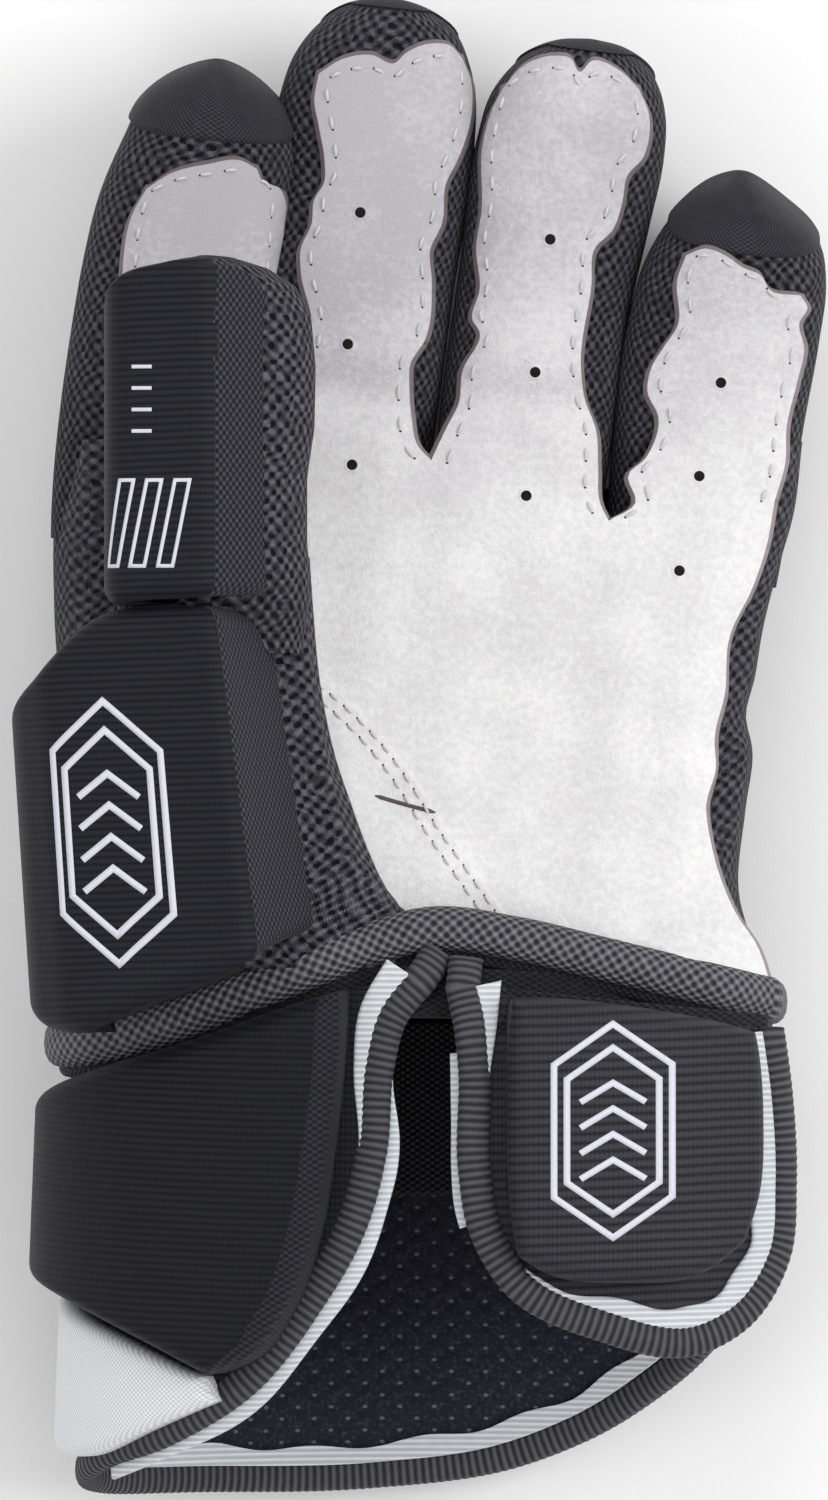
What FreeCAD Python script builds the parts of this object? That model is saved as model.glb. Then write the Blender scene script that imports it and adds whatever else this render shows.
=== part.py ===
"""A child's left ice hockey glove, size 10 inch, as a FreeCAD document.

The glove lies on its padded back with the palm up. +Z is up, out of the palm, +Y runs from the cuff to the
fingertips and +X from the thumb to the little finger. The origin is the middle of the space that the glove
fills, on the surface that it lies on.

The hand is the root. Each finger is two padded sleeves, hinged at the knuckle and at its middle joint. The
thumb is a base and a tip, the cuff hangs from the wrist welt, and a flap on its little-finger side opens.
"""

import FreeCAD
import Part

import math
import os

import Sketcher

from FreeCAD import Placement, Rotation, Vector

X_AXIS = Vector(1, 0, 0)
Y_AXIS = Vector(0, 1, 0)
Z_AXIS = Vector(0, 0, 1)

doc = FreeCAD.newDocument("hockey_glove")
sheet = doc.addObject("Spreadsheet::Sheet", "dims")

# Every driving dimension: alias, value in millimetres or degrees, what it is.
DIMENSIONS = (
    ("centre_x", -2.32, "shift that puts the origin at the middle of the glove's width"),
    ("centre_y", -1.47, "shift that puts the origin at the middle of the glove's length"),
    ("suede_thick", 1.2, "palm suede with its backing"),
    ("wall_thick", 1.8, "mesh gusset with its lining"),
    ("plate_thick", 1.2, "plastic insert"),
    ("layer_gap", 0.2, "room left between two layers"),
    ("edge_round", 3.5, "rounding of a foam pad's edges"),
    ("finger_depth", 33.0, "palm face to the outside of the back pad"),
    ("finger_pad_thick", 9.5, "foam pad on the back of a finger"),
    ("finger_pad_inset", 1.2, "finger pad inside its sleeve's width, each side"),
    ("suede_inset", 3.5, "finger suede inside its sleeve's width, each side"),
    ("hinge_depth", 5.0, "finger joint axis under the palm face"),
    ("joint_room", 5.4, "sleeve and suede kept back from a finger joint's axis"),
    ("pad_room", 0.6, "pads kept back from a finger joint's axis"),
    ("cap_length", 8.0, "woven cap that closes a fingertip"),
    ("knuckle_height", 34.0, "knuckle axis above the table"),
    ("index_width", 29.4, "index sleeve, across"),
    ("index_base", 33.0, "index, knuckle to middle joint"),
    ("index_tip", 38.1, "index, middle joint to end"),
    ("index_x", -43.0, "index knuckle"),
    ("index_y", 47.0, "index knuckle"),
    ("index_lean", 6.0, "index leans to the little finger's side"),
    ("index_rise", 2.0, "index base tilts up from the table"),
    ("index_curl", 12.0, "index tip curls from its base"),
    ("middle_width", 29.4, "middle sleeve, across"),
    ("middle_base", 35.0, "middle, knuckle to middle joint"),
    ("middle_tip", 39.6, "middle, middle joint to end"),
    ("middle_x", -12.2, "middle knuckle"),
    ("middle_y", 53.0, "middle knuckle"),
    ("middle_lean", 6.0, "middle leans"),
    ("middle_rise", 2.0, "middle base tilts up"),
    ("middle_curl", 4.0, "middle tip curls"),
    ("ring_width", 29.8, "ring sleeve, across"),
    ("ring_base", 33.0, "ring, knuckle to middle joint"),
    ("ring_tip", 37.6, "ring, middle joint to end"),
    ("ring_x", 18.6, "ring knuckle"),
    ("ring_y", 50.0, "ring knuckle"),
    ("ring_lean", 7.1, "ring leans"),
    ("ring_rise", 2.0, "ring base tilts up"),
    ("ring_curl", 6.0, "ring tip curls"),
    ("little_width", 29.4, "little sleeve, across"),
    ("little_base", 26.0, "little, knuckle to middle joint"),
    ("little_tip", 33.0, "little, middle joint to end"),
    ("little_x", 49.7, "little knuckle"),
    ("little_y", 42.0, "little knuckle"),
    ("little_lean", 7.2, "little leans"),
    ("little_rise", 4.0, "little base tilts up"),
    ("little_curl", 16.0, "little tip curls"),
    ("roll_thick", 14.0, "foam roll across the back of the hand"),
    ("liner_thick", 1.0, "lining over the rolls"),
    ("palm_rise", 10.2, "palm rises from the knuckles to its heel"),
    ("palm_height", 39.0, "palm face above the table at the knuckle line"),
    ("palm_line", 47.0, "knuckle line that the palm's tilt turns about"),
    ("overlay_thick", 1.0, "reinforcement sewn on the palm"),
    ("vent_radius", 0.85, "vent hole in the suede"),
    ("thumb_cap_height", 9.0, "cap that closes the thumb's end"),
    ("welt_front", -43.6, "wrist welt, edge at the hand"),
    ("welt_width", 4.4, "wrist welt, along the arm"),
    ("welt_half_width", 56.0, "wrist welt ring, half across"),
    ("welt_half_height", 27.0, "wrist welt ring, half up and down"),
    ("welt_centre", 34.0, "wrist welt ring centre above the table"),
    ("welt_thick", 4.5, "wrist welt ring wall"),
    ("cuff_front", -51.0, "cuff, edge at the wrist"),
    ("cuff_length", 76.0, "cuff, along the arm"),
    ("no_reach", 0.0, "the lining and the back pad stop at the wrist edge"),
    ("pad_reach", 14.0, "thumb-side pad and flap run forward past the wrist edge"),
    ("cuff_centre", 37.8, "cuff ring centre above the table"),
    ("cuff_front_half_width", 52.5, "cuff lining ring at the wrist, half across"),
    ("cuff_front_half_height", 25.5, "cuff lining ring at the wrist, half up and down"),
    ("cuff_rear_half_width", 55.5, "cuff lining ring at the arm, half across"),
    ("cuff_rear_half_height", 28.6, "cuff lining ring at the arm, half up and down"),
    ("cuff_liner_thick", 1.5, "cuff lining"),
    ("cuff_pad_thick", 8.6, "cuff foam pad"),
    ("side_panel_thick", 6.0, "pale panel at the cuff's end"),
    ("binding_width", 6.0, "ribbed binding round the cuff's edge"),
    ("binding_thick", 5.0, "ribbed binding, through the edge"),
    ("tape_width", 4.5, "pale tape beside the binding"),
    ("tape_thick", 0.8, "pale tape"),
)
for line, (alias, value, note) in enumerate(DIMENSIONS, start=1):
    sheet.set(f"A{line}", note)
    sheet.set(f"B{line}", str(value))
    sheet.setAlias(f"B{line}", alias)
doc.recompute()

sub_parts = []


def dim(alias):
    """A driving dimension's value."""
    return float(sheet.get(alias))


glove_frame = Placement(Vector(dim("centre_x"), dim("centre_y"), 0), Rotation())


def keep(piece, name, place=Placement()):
    """Marks an object as a sub-part, in its place in the glove."""
    piece.Label = name
    piece.Placement = glove_frame.multiply(place)
    sub_parts.append(piece)
    return piece


def at(x, y, z):
    """A placement with no turn."""
    return Placement(Vector(x, y, z), Rotation())


# ---------------------------------------------------------------- sketches and pads


def body_with_sketch(name):
    """A PartDesign body and an empty sketch on its XY plane."""
    body = doc.addObject("PartDesign::Body", name)
    sketch = body.newObject("Sketcher::SketchObject", name + "_outline")
    plane = next(f for f in body.Origin.OriginFeatures if f.Role == "XY_Plane")
    sketch.AttachmentSupport = (plane, [""])
    sketch.MapMode = "FlatFace"
    return body, sketch


def pad_sketch(body, sketch, thickness):
    """Pads the sketch up by the sheet's thickness."""
    pad = body.newObject("PartDesign::Pad", body.Name + "_pad")
    pad.Profile = sketch
    pad.setExpression("Length", "dims." + thickness)
    sketch.Visibility = False
    doc.recompute()
    return pad


def round_edges(body, pad, radius="edge_round", top_too=False):
    """Rounds the pad's lower and upright edges, and its upper ones if asked."""
    top = pad.Shape.BoundBox.ZMax
    names = [
        f"Edge{n}"
        for n, edge in enumerate(pad.Shape.Edges, start=1)
        if top_too or min(v.Z for v in edge.Vertexes) < top - 0.01
    ]
    fillet = body.newObject("PartDesign::Fillet", body.Name + "_round")
    fillet.Base = (pad, names)
    fillet.setExpression("Radius", "dims." + radius)
    doc.recompute()


def line(sketch, start, end):
    """Adds a straight edge to a sketch."""
    return sketch.addGeometry(Part.LineSegment(Vector(*start, 0), Vector(*end, 0)))


def joined(sketch, edges):
    """Joins each edge's end to the next one's start."""
    for edge, after in zip(edges, edges[1:]):
        sketch.addConstraint(Sketcher.Constraint("Coincident", edge, 2, after, 1))


def named(sketch, kind, expression, *targets):
    """Adds a dimension to a sketch and binds it to an expression of the sheet."""
    number = sketch.addConstraint(Sketcher.Constraint(kind, *targets))
    sketch.setExpression(f"Constraints[{number}]", expression)


def strip_outline(sketch, width, start, end, rounded):
    """A strip across x = 0 from y = start to y = end, with a half-round far end if rounded.

    Width, start and end are expressions of the sheet's cells."""
    half, low, high = 10.0, 5.0, 30.0
    first = line(sketch, (-half, low), (half, low))
    right = line(sketch, (half, low), (half, high))
    left = line(sketch, (-half, high), (-half, low))
    joined(sketch, (left, first, right))
    sketch.addConstraint(Sketcher.Constraint("Vertical", right))
    sketch.addConstraint(Sketcher.Constraint("Vertical", left))
    sketch.addConstraint(Sketcher.Constraint("Symmetric", first, 1, first, 2, -2))
    named(sketch, "DistanceX", width, first, 1, first, 2, 2 * half)
    named(sketch, "DistanceY", start, -1, 1, first, 1, low)
    if rounded:
        arc = Part.ArcOfCircle(Part.Circle(Vector(0, high, 0), Z_AXIS, half), 0, math.pi)
        far = sketch.addGeometry(arc)
        sketch.addConstraint(Sketcher.Constraint("Tangent", right, 2, far, 1))
        sketch.addConstraint(Sketcher.Constraint("Tangent", far, 2, left, 1))
        length = f"({end}) - ({start}) - ({width}) / 2"
    else:
        far = line(sketch, (half, high), (-half, high))
        joined(sketch, (right, far, left))
        sketch.addConstraint(Sketcher.Constraint("Horizontal", far))
        length = f"({end}) - ({start})"
    named(sketch, "DistanceY", length, right, 1, right, 2, high - low)


def pierce(sketch, holes):
    """Vent holes in a sketch."""
    for x, y in holes:
        sketch.addGeometry(Part.Circle(Vector(x, y, 0), Z_AXIS, dim("vent_radius")))


def strip(name, width, start, end, thickness, place, rounded=False, soft=False, vents=()):
    """A padded strip: a suede panel, an insert or, if soft, a foam pad with round edges."""
    body, sketch = body_with_sketch(name)
    strip_outline(sketch, width, start, end, rounded)
    pierce(sketch, [(0, along) for along in vents])
    pad = pad_sketch(body, sketch, thickness)
    if soft:
        round_edges(body, pad)
    return keep(body, name, place)


def sheet_piece(name, outline, thickness, place, holes=(), soft=False):
    """A flat piece with a drawn outline, and vent holes if there are any."""
    body, sketch = body_with_sketch(name)
    corners = list(outline)
    edges = [line(sketch, a, b) for a, b in zip(corners, corners[1:] + corners[:1])]
    joined(sketch, edges + edges[:1])
    pierce(sketch, holes)
    pad = pad_sketch(body, sketch, thickness)
    if soft:
        round_edges(body, pad)
    return keep(body, name, place)


# ---------------------------------------------------------------- boxes, prisms and rings


def box(name, length, width, height, corner):
    """A box from its low corner, with sizes that are expressions of the sheet's cells."""
    piece = doc.addObject("Part::Box", name)
    for side, expression in (("Length", length), ("Width", width), ("Height", height)):
        piece.setExpression(side, expression)
    piece.Placement = at(*corner)
    return piece


def group(name, pieces, place=Placement()):
    """Several separate solids as one sub-part."""
    compound = doc.addObject("Part::Compound", name)
    compound.Links = pieces
    doc.recompute()
    return keep(compound, name, place)


def wire(name, corners):
    """A closed polygon through corners in space."""
    polygon = doc.addObject("Part::Polygon", name)
    polygon.Nodes = [Vector(*c) for c in corners]
    polygon.Close = True
    return polygon


def prism(name, base, direction, length):
    """A closed outline drawn out along a direction."""
    solid = doc.addObject("Part::Extrusion", name)
    solid.Base = base
    solid.DirMode = "Custom"
    solid.Dir = direction
    solid.LengthFwd = length
    solid.Solid = True
    return solid


def upright(name, outline, low, high):
    """A prism that stands on an outline in plan, from z = low to z = high."""
    return prism(name, wire(name + "_plan", [(x, y, low) for x, y in outline]), Z_AXIS, high - low)


def combine(kind, name, base, tool):
    """A boolean of two objects: Cut, Fuse or Common."""
    result = doc.addObject("Part::" + kind, name)
    result.Base = base
    result.Tool = tool
    return result


def ellipse(name, half_width, half_height, y, centre_z):
    """An upright ellipse across the arm, from expressions for its two half sizes."""
    curve = doc.addObject("Part::Ellipse", name)
    curve.setExpression("MajorRadius", half_width)
    curve.setExpression("MinorRadius", half_height)
    curve.Placement = Placement(Vector(0, y, centre_z), Rotation(X_AXIS, 90))
    return curve


def cone_of(name, grow, reach):
    """The solid inside the cuff's lining, grown outward by an expression, from wrist to arm.

    It runs forward past the lining's front edge by the cell named by reach."""
    front = dim("cuff_front")
    taper = "dims.{reach} * (dims.cuff_rear_{half} - dims.cuff_front_{half}) / dims.cuff_length"
    ends = []
    rims = (("front", front + dim(reach), reach), ("rear", front - dim("cuff_length"), "no_reach"))
    for end, y, run in rims:
        sizes = [
            f"dims.cuff_{end}_{half} - {taper.format(reach=run, half=half)} + ({grow})"
            for half in ("half_width", "half_height")
        ]
        ends.append(ellipse(f"{name}_{end}", *sizes, y, dim("cuff_centre")))
    loft = doc.addObject("Part::Loft", name)
    loft.Sections = ends
    loft.Solid = True
    loft.Ruled = True
    return loft


def cuff_ring(name, inner, outer, reach="no_reach"):
    """A tapered ring of the cuff, between two growths of its lining."""
    return combine("Cut", name, cone_of(name + "_out", outer, reach), cone_of(name + "_in", inner, reach))


# ---------------------------------------------------------------- fingers

# Vent holes in each finger's suede, along it from the joint: those of the base, then those of the tip.
FINGER_VENTS = {
    "index": ((15.0,), (8.0,)),
    "middle": ((16.0,), (8.0,)),
    "ring": ((15.0,), (8.0,)),
    "little": ((9.0, 18.0), ()),
}


def finger_frames(finger):
    """The frames of a finger's base and tip, at their joints' axes."""
    root = Vector(dim(finger + "_x"), dim(finger + "_y"), dim("knuckle_height"))
    lean = Rotation(Z_AXIS, -dim(finger + "_lean"))
    base = Placement(root, lean.multiply(Rotation(X_AXIS, dim(finger + "_rise"))))
    bend = Placement(Vector(0, dim(finger + "_base"), 0), Rotation(X_AXIS, dim(finger + "_curl")))
    return base, base.multiply(bend)


def finger_walls(name, finger, end, frame):
    """The two mesh gussets beside one sleeve."""
    height = "dims.finger_depth - dims.finger_pad_thick - dims.suede_thick - 2 * dims.layer_gap"
    low = dim("hinge_depth") - dim("finger_depth") + dim("finger_pad_thick") + dim("layer_gap")
    half = dim(finger + "_width") / 2
    walls = [
        box(
            f"{name}_{side}",
            "dims.wall_thick",
            f"({end}) - dims.joint_room",
            height,
            (x, dim("joint_room"), low),
        )
        for side, x in (("left", -half), ("right", half - dim("wall_thick")))
    ]
    group(name, walls, frame)


def finger_cap(name, finger, frame):
    """The cap that closes a fingertip: the end of a round-ended block."""
    radius = dim(finger + "_width") / 2
    low = dim("hinge_depth") - dim("finger_depth") + dim("finger_pad_thick") + dim("layer_gap")
    height = "dims.finger_depth - dims.finger_pad_thick - dims.suede_thick - 2 * dims.layer_gap"
    end = doc.addObject("Part::Cylinder", name + "_round")
    end.setExpression("Radius", f"dims.{finger}_width / 2")
    end.setExpression("Height", height)
    end.Placement = at(0, dim(finger + "_tip") - radius, low)
    block = box(
        name + "_block",
        f"dims.{finger}_width",
        "dims.cap_length",
        height,
        (-radius, dim(finger + "_tip") - dim("cap_length"), low),
    )
    keep(combine("Common", name, end, block), name, frame)


def make_finger(finger):
    """One finger: suede, gussets, foam pad and insert of its base, then of its tip, with a cap."""
    base, tip = finger_frames(finger)
    face = dim("hinge_depth")
    suede_low = face - dim("suede_thick")
    pad_low = face - dim("finger_depth")
    plate_low = pad_low + dim("finger_pad_thick") + dim("layer_gap")
    width = f"dims.{finger}_width"
    suede_width = f"{width} - 2 * dims.suede_inset"
    pad_width = f"{width} - 2 * dims.finger_pad_inset"
    plate_width = f"{width} - 2 * dims.wall_thick - 2"
    base_length = f"dims.{finger}_base"
    tip_length = f"dims.{finger}_tip"
    back = "- dims.joint_room"
    base_vents, tip_vents = FINGER_VENTS[finger]

    strip(
        f"{finger}_base_suede",
        suede_width,
        "dims.joint_room",
        f"{base_length} {back}",
        "suede_thick",
        base.multiply(at(0, 0, suede_low)),
        vents=base_vents,
    )
    finger_walls(f"{finger}_base_gussets", finger, f"{base_length} {back}", base)
    strip(
        f"{finger}_base_pad",
        pad_width,
        "dims.pad_room",
        f"{base_length} - dims.pad_room",
        "finger_pad_thick",
        base.multiply(at(0, 0, pad_low)),
        soft=True,
    )
    strip(
        f"{finger}_base_insert",
        plate_width,
        "dims.joint_room",
        f"{base_length} {back}",
        "plate_thick",
        base.multiply(at(0, 0, plate_low)),
    )
    strip(
        f"{finger}_tip_suede",
        suede_width,
        "dims.joint_room",
        f"{tip_length} - dims.suede_inset",
        "suede_thick",
        tip.multiply(at(0, 0, suede_low)),
        rounded=True,
        vents=tip_vents,
    )
    finger_walls(f"{finger}_tip_gussets", finger, f"{tip_length} - dims.cap_length - dims.layer_gap", tip)
    strip(
        f"{finger}_tip_pad",
        pad_width,
        "dims.pad_room",
        f"{tip_length} - dims.finger_pad_inset",
        "finger_pad_thick",
        tip.multiply(at(0, 0, pad_low)),
        rounded=True,
        soft=True,
    )
    finger_cap(f"{finger}_cap", finger, tip)


for finger in ("index", "middle", "ring", "little"):
    make_finger(finger)

# ---------------------------------------------------------------- palm and back of the hand

# The palm's outline in plan, from the knuckle line down the little-finger side, round the heel and up the
# thumb side, where it runs under the index finger's root.
PALM_OUTLINE = (
    (-56.0, 41.0),
    (-28.5, 41.0),
    (-27.5, 46.5),
    (3.0, 46.5),
    (4.0, 44.0),
    (34.0, 44.0),
    (35.5, 36.0),
    (61.0, 36.0),
    (60.0, 18.0),
    (56.5, 0.0),
    (53.5, -20.0),
    (57.0, -38.0),
    (38.0, -35.0),
    (18.0, -31.0),
    (1.0, -31.0),
    (-5.0, -22.0),
    (-10.0, -12.0),
    (-13.4, 2.0),
    (-15.7, 17.0),
    (-30.0, 24.0),
    (-54.0, 30.0),
)
PALM_VENTS = ((-10.5, 44.0), (19.1, 42.0), (45.1, 30.5))

# Reinforcement between the thumb and the heel, in plan.
OVERLAY_OUTLINE = (
    (-14.0, 12.0),
    (-2.0, 2.0),
    (8.0, -14.0),
    (16.0, -30.0),
    (2.0, -30.0),
    (-4.0, -21.5),
    (-9.0, -11.5),
    (-12.4, 2.0),
)


# The mesh sides of the hand in plan. The one on the thumb's side stops under the thumb's guard.
LITTLE_SIDE = (
    (62.9, 35.5),
    (60.5, 12.0),
    (57.5, -10.0),
    (56.5, -42.0),
    (58.4, -42.0),
    (59.4, -10.0),
    (62.4, 12.0),
    (64.8, 35.5),
)
THUMB_SIDE = ((-56.4, 22.0), (-54.6, 22.0), (-50.2, -42.0), (-52.0, -42.0))
THUMB_GUSSET_TOP = 48.0


def on_palm(height):
    """The palm's own plane: it turns about the knuckle line and rises to the heel."""
    start = Vector(0, dim("palm_line"), dim("palm_height") + height)
    turn = Placement(start, Rotation(X_AXIS, -dim("palm_rise")))
    return turn.multiply(at(0, -dim("palm_line"), 0))


def palm_underside(y):
    """How high the side gussets reach at a place along the hand: just under the palm suede."""
    rise = math.tan(math.radians(dim("palm_rise")))
    return dim("palm_height") - dim("suede_thick") - 3 * dim("layer_gap") + (dim("palm_line") - y) * rise


def side_gusset(name, outline, floor, top):
    """A mesh side of the hand: its outline in plan, cut along the top to follow the palm."""
    low, high = min(y for _, y in outline), max(y for _, y in outline)
    steps = [low + (high - low) * n / 4 for n in range(5)]
    side = [(-90, low, floor), (-90, high, floor)] + [(-90, y, top(y)) for y in reversed(steps)]
    wall = upright(name + "_wall", outline, floor, 70)
    profile = prism(name + "_profile", wire(name + "_side", side), X_AXIS, 180)
    keep(combine("Common", name, wall, profile), name)


def make_hand():
    """The palm, its overlay, the side gussets, the lining, the three foam rolls and their inserts."""
    sheet_piece("palm_suede", PALM_OUTLINE, "suede_thick", on_palm(-dim("suede_thick")), holes=PALM_VENTS)
    sheet_piece("palm_overlay", OVERLAY_OUTLINE, "overlay_thick", on_palm(dim("layer_gap") / 10))

    floor = dim("roll_thick") + dim("plate_thick") + dim("liner_thick") + 3 * dim("layer_gap")
    side_gusset("side_gusset_little", LITTLE_SIDE, floor, palm_underside)
    side_gusset("side_gusset_thumb", THUMB_SIDE, floor, lambda y: min(palm_underside(y), THUMB_GUSSET_TOP))

    lining = ((-57.0, 44.0), (62.0, 34.0), (57.0, -10.0), (55.0, -42.6), (-50.0, -42.6), (-54.5, 10.0))
    low = dim("roll_thick") + dim("plate_thick") + 2 * dim("layer_gap")
    sheet_piece("hand_liner", lining, "liner_thick", at(0, 0, low))

    rolls = (
        (
            "knuckle_roll",
            ((-57.0, 14.5), (60.0, 14.5), (63.5, 39.0), (36.0, 46.0), (-30.0, 46.0), (-58.5, 43.0)),
        ),
        ("middle_roll", ((-54.0, -14.0), (57.5, -14.0), (59.8, 13.0), (-56.5, 13.0))),
        ("lower_roll", ((-51.0, -42.5), (55.5, -42.5), (57.2, -15.5), (-53.5, -15.5))),
    )
    for name, outline in rolls:
        sheet_piece(name, outline, "roll_thick", at(0, 0, 0), soft=True)

    plates = [
        box(
            f"insert_{n}",
            "94",
            f"{depth}",
            "dims.plate_thick",
            (-45.0, y, dim("roll_thick") + dim("layer_gap")),
        )
        for n, (y, depth) in enumerate(((18.0, 22.0), (-11.0, 21.0), (-39.0, 20.0)))
    ]
    group("backhand_inserts", plates)


def make_welt():
    """The padded welt that runs round the wrist opening."""
    rings = []
    for name, shrink in (("welt_outside", "0"), ("welt_inside", "dims.welt_thick")):
        ends = [
            ellipse(
                f"{name}_{n}",
                f"dims.welt_half_width - {shrink}",
                f"dims.welt_half_height - {shrink}",
                y,
                dim("welt_centre"),
            )
            for n, y in enumerate((dim("welt_front"), dim("welt_front") - dim("welt_width")))
        ]
        loft = doc.addObject("Part::Loft", name)
        loft.Sections = ends
        loft.Solid = True
        loft.Ruled = True
        rings.append(loft)
    keep(combine("Cut", "wrist_welt", *rings), "wrist_welt")


make_hand()
make_welt()

# ---------------------------------------------------------------- thumb

# Cross-sections of the bent foam guards, x and z, outside first and back along the inside.
BASE_SECTION = (
    (-17.8, 53.0),
    (-20.0, 61.0),
    (-29.0, 82.0),
    (-59.0, 76.5),
    (-65.6, 68.0),
    (-66.6, 50.0),
    (-58.0, 50.0),
    (-57.0, 63.5),
    (-53.5, 67.5),
    (-34.5, 71.0),
    (-27.5, 57.5),
    (-26.8, 53.0),
)
TIP_SECTION = (
    (-22.6, 66.0),
    (-24.0, 74.5),
    (-33.0, 84.0),
    (-49.5, 83.0),
    (-52.4, 79.5),
    (-52.8, 73.6),
    (-49.5, 73.8),
    (-38.0, 75.2),
    (-33.0, 74.4),
    (-27.6, 68.0),
    (-26.8, 66.0),
)
BASE_OUTLINE = (
    (-66.8, 9.8),
    (-57.0, 18.0),
    (-43.0, 21.4),
    (-17.0, 21.4),
    (-17.0, -31.0),
    (-43.0, -40.5),
    (-57.5, -46.0),
    (-66.8, -43.0),
)
TIP_OUTLINE = (
    (-53.5, 22.6),
    (-22.0, 22.6),
    (-22.0, 66.0),
    (-25.5, 76.0),
    (-31.0, 80.6),
    (-41.0, 80.6),
    (-46.5, 76.0),
    (-53.5, 58.0),
)


def thumb_guard(name, section, outline):
    """A foam guard bent over the thumb: its cross-section along the thumb, cut to its outline in plan."""
    low_y = min(y for _, y in outline) - 1
    run = max(y for _, y in outline) + 1 - low_y
    profile = wire(name + "_section", [(x, low_y, z) for x, z in section])
    along = prism(name + "_along", profile, Y_AXIS, run)
    plan = upright(name + "_cut", outline, 40, 90)
    keep(combine("Common", name, along, plan), name)


def make_thumb():
    """The thumb's base guard, insert and gusset, then its tip with suede, gussets, insert and cap."""
    thumb_guard("thumb_base_guard", BASE_SECTION, BASE_OUTLINE)
    thumb_guard("thumb_tip_guard", TIP_SECTION, TIP_OUTLINE)

    slope = Rotation(Y_AXIS, -math.degrees(math.atan2(3.5, 19.0)))
    plate = box("thumb_base_insert", "14", "46", "dims.plate_thick", (0, 0, 0))
    keep(plate, "thumb_base_insert", Placement(Vector(-52.0, -28.0, 66.0), slope))
    sheet_piece(
        "thumb_base_gusset",
        (
            (-24.0, 20.0),
            (-17.2, 18.0),
            (-15.2, 2.0),
            (-12.0, -12.0),
            (-7.0, -22.5),
            (-2.6, -29.0),
            (-20.0, -29.0),
            (-24.0, -10.0),
        ),
        "overlay_thick",
        at(0, 0, 51.4),
    )

    plate = box("thumb_tip_insert", "10", "40", "dims.plate_thick", (0, 0, 0))
    keep(plate, "thumb_tip_insert", at(-48.6, 28.0, 72.2))
    tip_suede = ((-48.5, 24.5), (-26.5, 24.5), (-26.5, 66.0), (-31.0, 73.0), (-43.0, 73.0), (-48.5, 62.0))
    sheet_piece("thumb_suede", tip_suede, "suede_thick", at(0, 0, 59.0))
    walls = [
        box("thumb_wall_outer", "dims.wall_thick", "38", "12.8", (-51.4, 24.0, 60.5)),
        box("thumb_wall_inner", "dims.wall_thick", "46", "5.2", (-25.0, 24.0, 60.5)),
    ]
    group("thumb_tip_gussets", walls)
    sheet_piece(
        "thumb_cap",
        ((-45.0, 74.0), (-30.0, 74.0), (-31.0, 78.5), (-34.0, 80.0), (-40.0, 80.0), (-43.5, 78.0)),
        "thumb_cap_height",
        at(0, 0, 60.5),
    )


make_thumb()

# ---------------------------------------------------------------- cuff

# The cuff's edge in plan. The upper half is open over the wrist, and the lower half is the back of the cuff,
# whose rim runs forward on the little-finger side. Both run on past the wrist, where there is no binding.
CUFF_UPPER = (
    (-90.0, -20.0),
    (-1.0, -20.0),
    (-4.0, -53.0),
    (-5.0, -68.0),
    (-10.0, -82.0),
    (-17.0, -94.0),
    (-28.0, -109.0),
    (-52.0, -121.0),
    (-90.0, -124.0),
)
CUFF_LOWER = (
    (-90.0, -20.0),
    (90.0, -20.0),
    (90.0, -84.0),
    (54.0, -99.0),
    (32.0, -117.0),
    (10.0, -126.0),
    (-52.0, -126.0),
    (-90.0, -124.0),
)
THUMB_PAD_PLAN = (
    (-90.0, -68.0),
    (-60.5, -57.0),
    (-38.5, -48.0),
    (-12.0, -39.5),
    (-12.5, -53.0),
    (-15.0, -68.0),
    (-20.0, -84.0),
    (-27.5, -95.0),
    (-34.0, -101.5),
    (-47.0, -94.5),
    (-90.0, -88.0),
)
SIDE_PANEL_PLAN = (
    (-90.0, -90.0),
    (-48.0, -96.0),
    (-36.0, -102.2),
    (-39.0, -104.5),
    (-52.0, -111.0),
    (-90.0, -112.0),
)
SIDE_PANEL_UNDER = ((-90.0, -90.0), (-46.0, -90.0), (-46.0, -112.0), (-90.0, -112.0))
BACK_PAD_PLAN = (
    (-44.0, -53.0),
    (50.0, -53.0),
    (50.0, -86.0),
    (30.0, -103.0),
    (8.0, -112.0),
    (-44.0, -112.0),
)
FLAP_PLAN = (
    (5.5, -20.0),
    (5.5, -53.0),
    (8.0, -72.0),
    (11.5, -84.0),
    (20.0, -94.0),
    (32.0, -99.5),
    (48.0, -101.0),
    (62.0, -94.0),
    (90.0, -80.0),
    (90.0, -20.0),
)
FLAP_SEAM = (  # steps back at the little-finger side, to clear the welt's rear edge
    (-90.0, -39.0),
    (5.5, -39.0),
    (48.0, -46.5),
    (53.0, -49.6),
    (62.0, -51.0),
    (90.0, -55.0),
    (90.0, -140.0),
    (-90.0, -140.0),
)
FLAP_PAD_PLAN = (
    (14.0, -41.5),
    (62.0, -50.5),
    (90.0, -55.5),
    (90.0, -68.0),
    (56.0, -86.0),
    (46.0, -90.5),
    (30.0, -88.5),
    (22.5, -84.5),
    (17.5, -76.0),
)


def inset(name, outline, low, high, inward):
    """A prism on an outline drawn in by an expression of the sheet's cells."""
    plan = wire(name + "_plan", [(x, y, low) for x, y in outline])
    smaller = doc.addObject("Part::Offset2D", name + "_inset")
    smaller.Source = plan
    smaller.Join = "Arc"
    smaller.setExpression("Value", inward)
    return prism(name, smaller, Z_AXIS, high - low)


def around(name, upper, lower, inward):
    """The space over an upper outline and under a lower one, both drawn in, meeting at the cuff's middle."""
    middle = dim("cuff_centre")
    over = inset(name + "_upper", upper, middle, 110, inward)
    under = inset(name + "_lower", lower, -20, middle, inward)
    return combine("Fuse", name, over, under)


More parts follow.
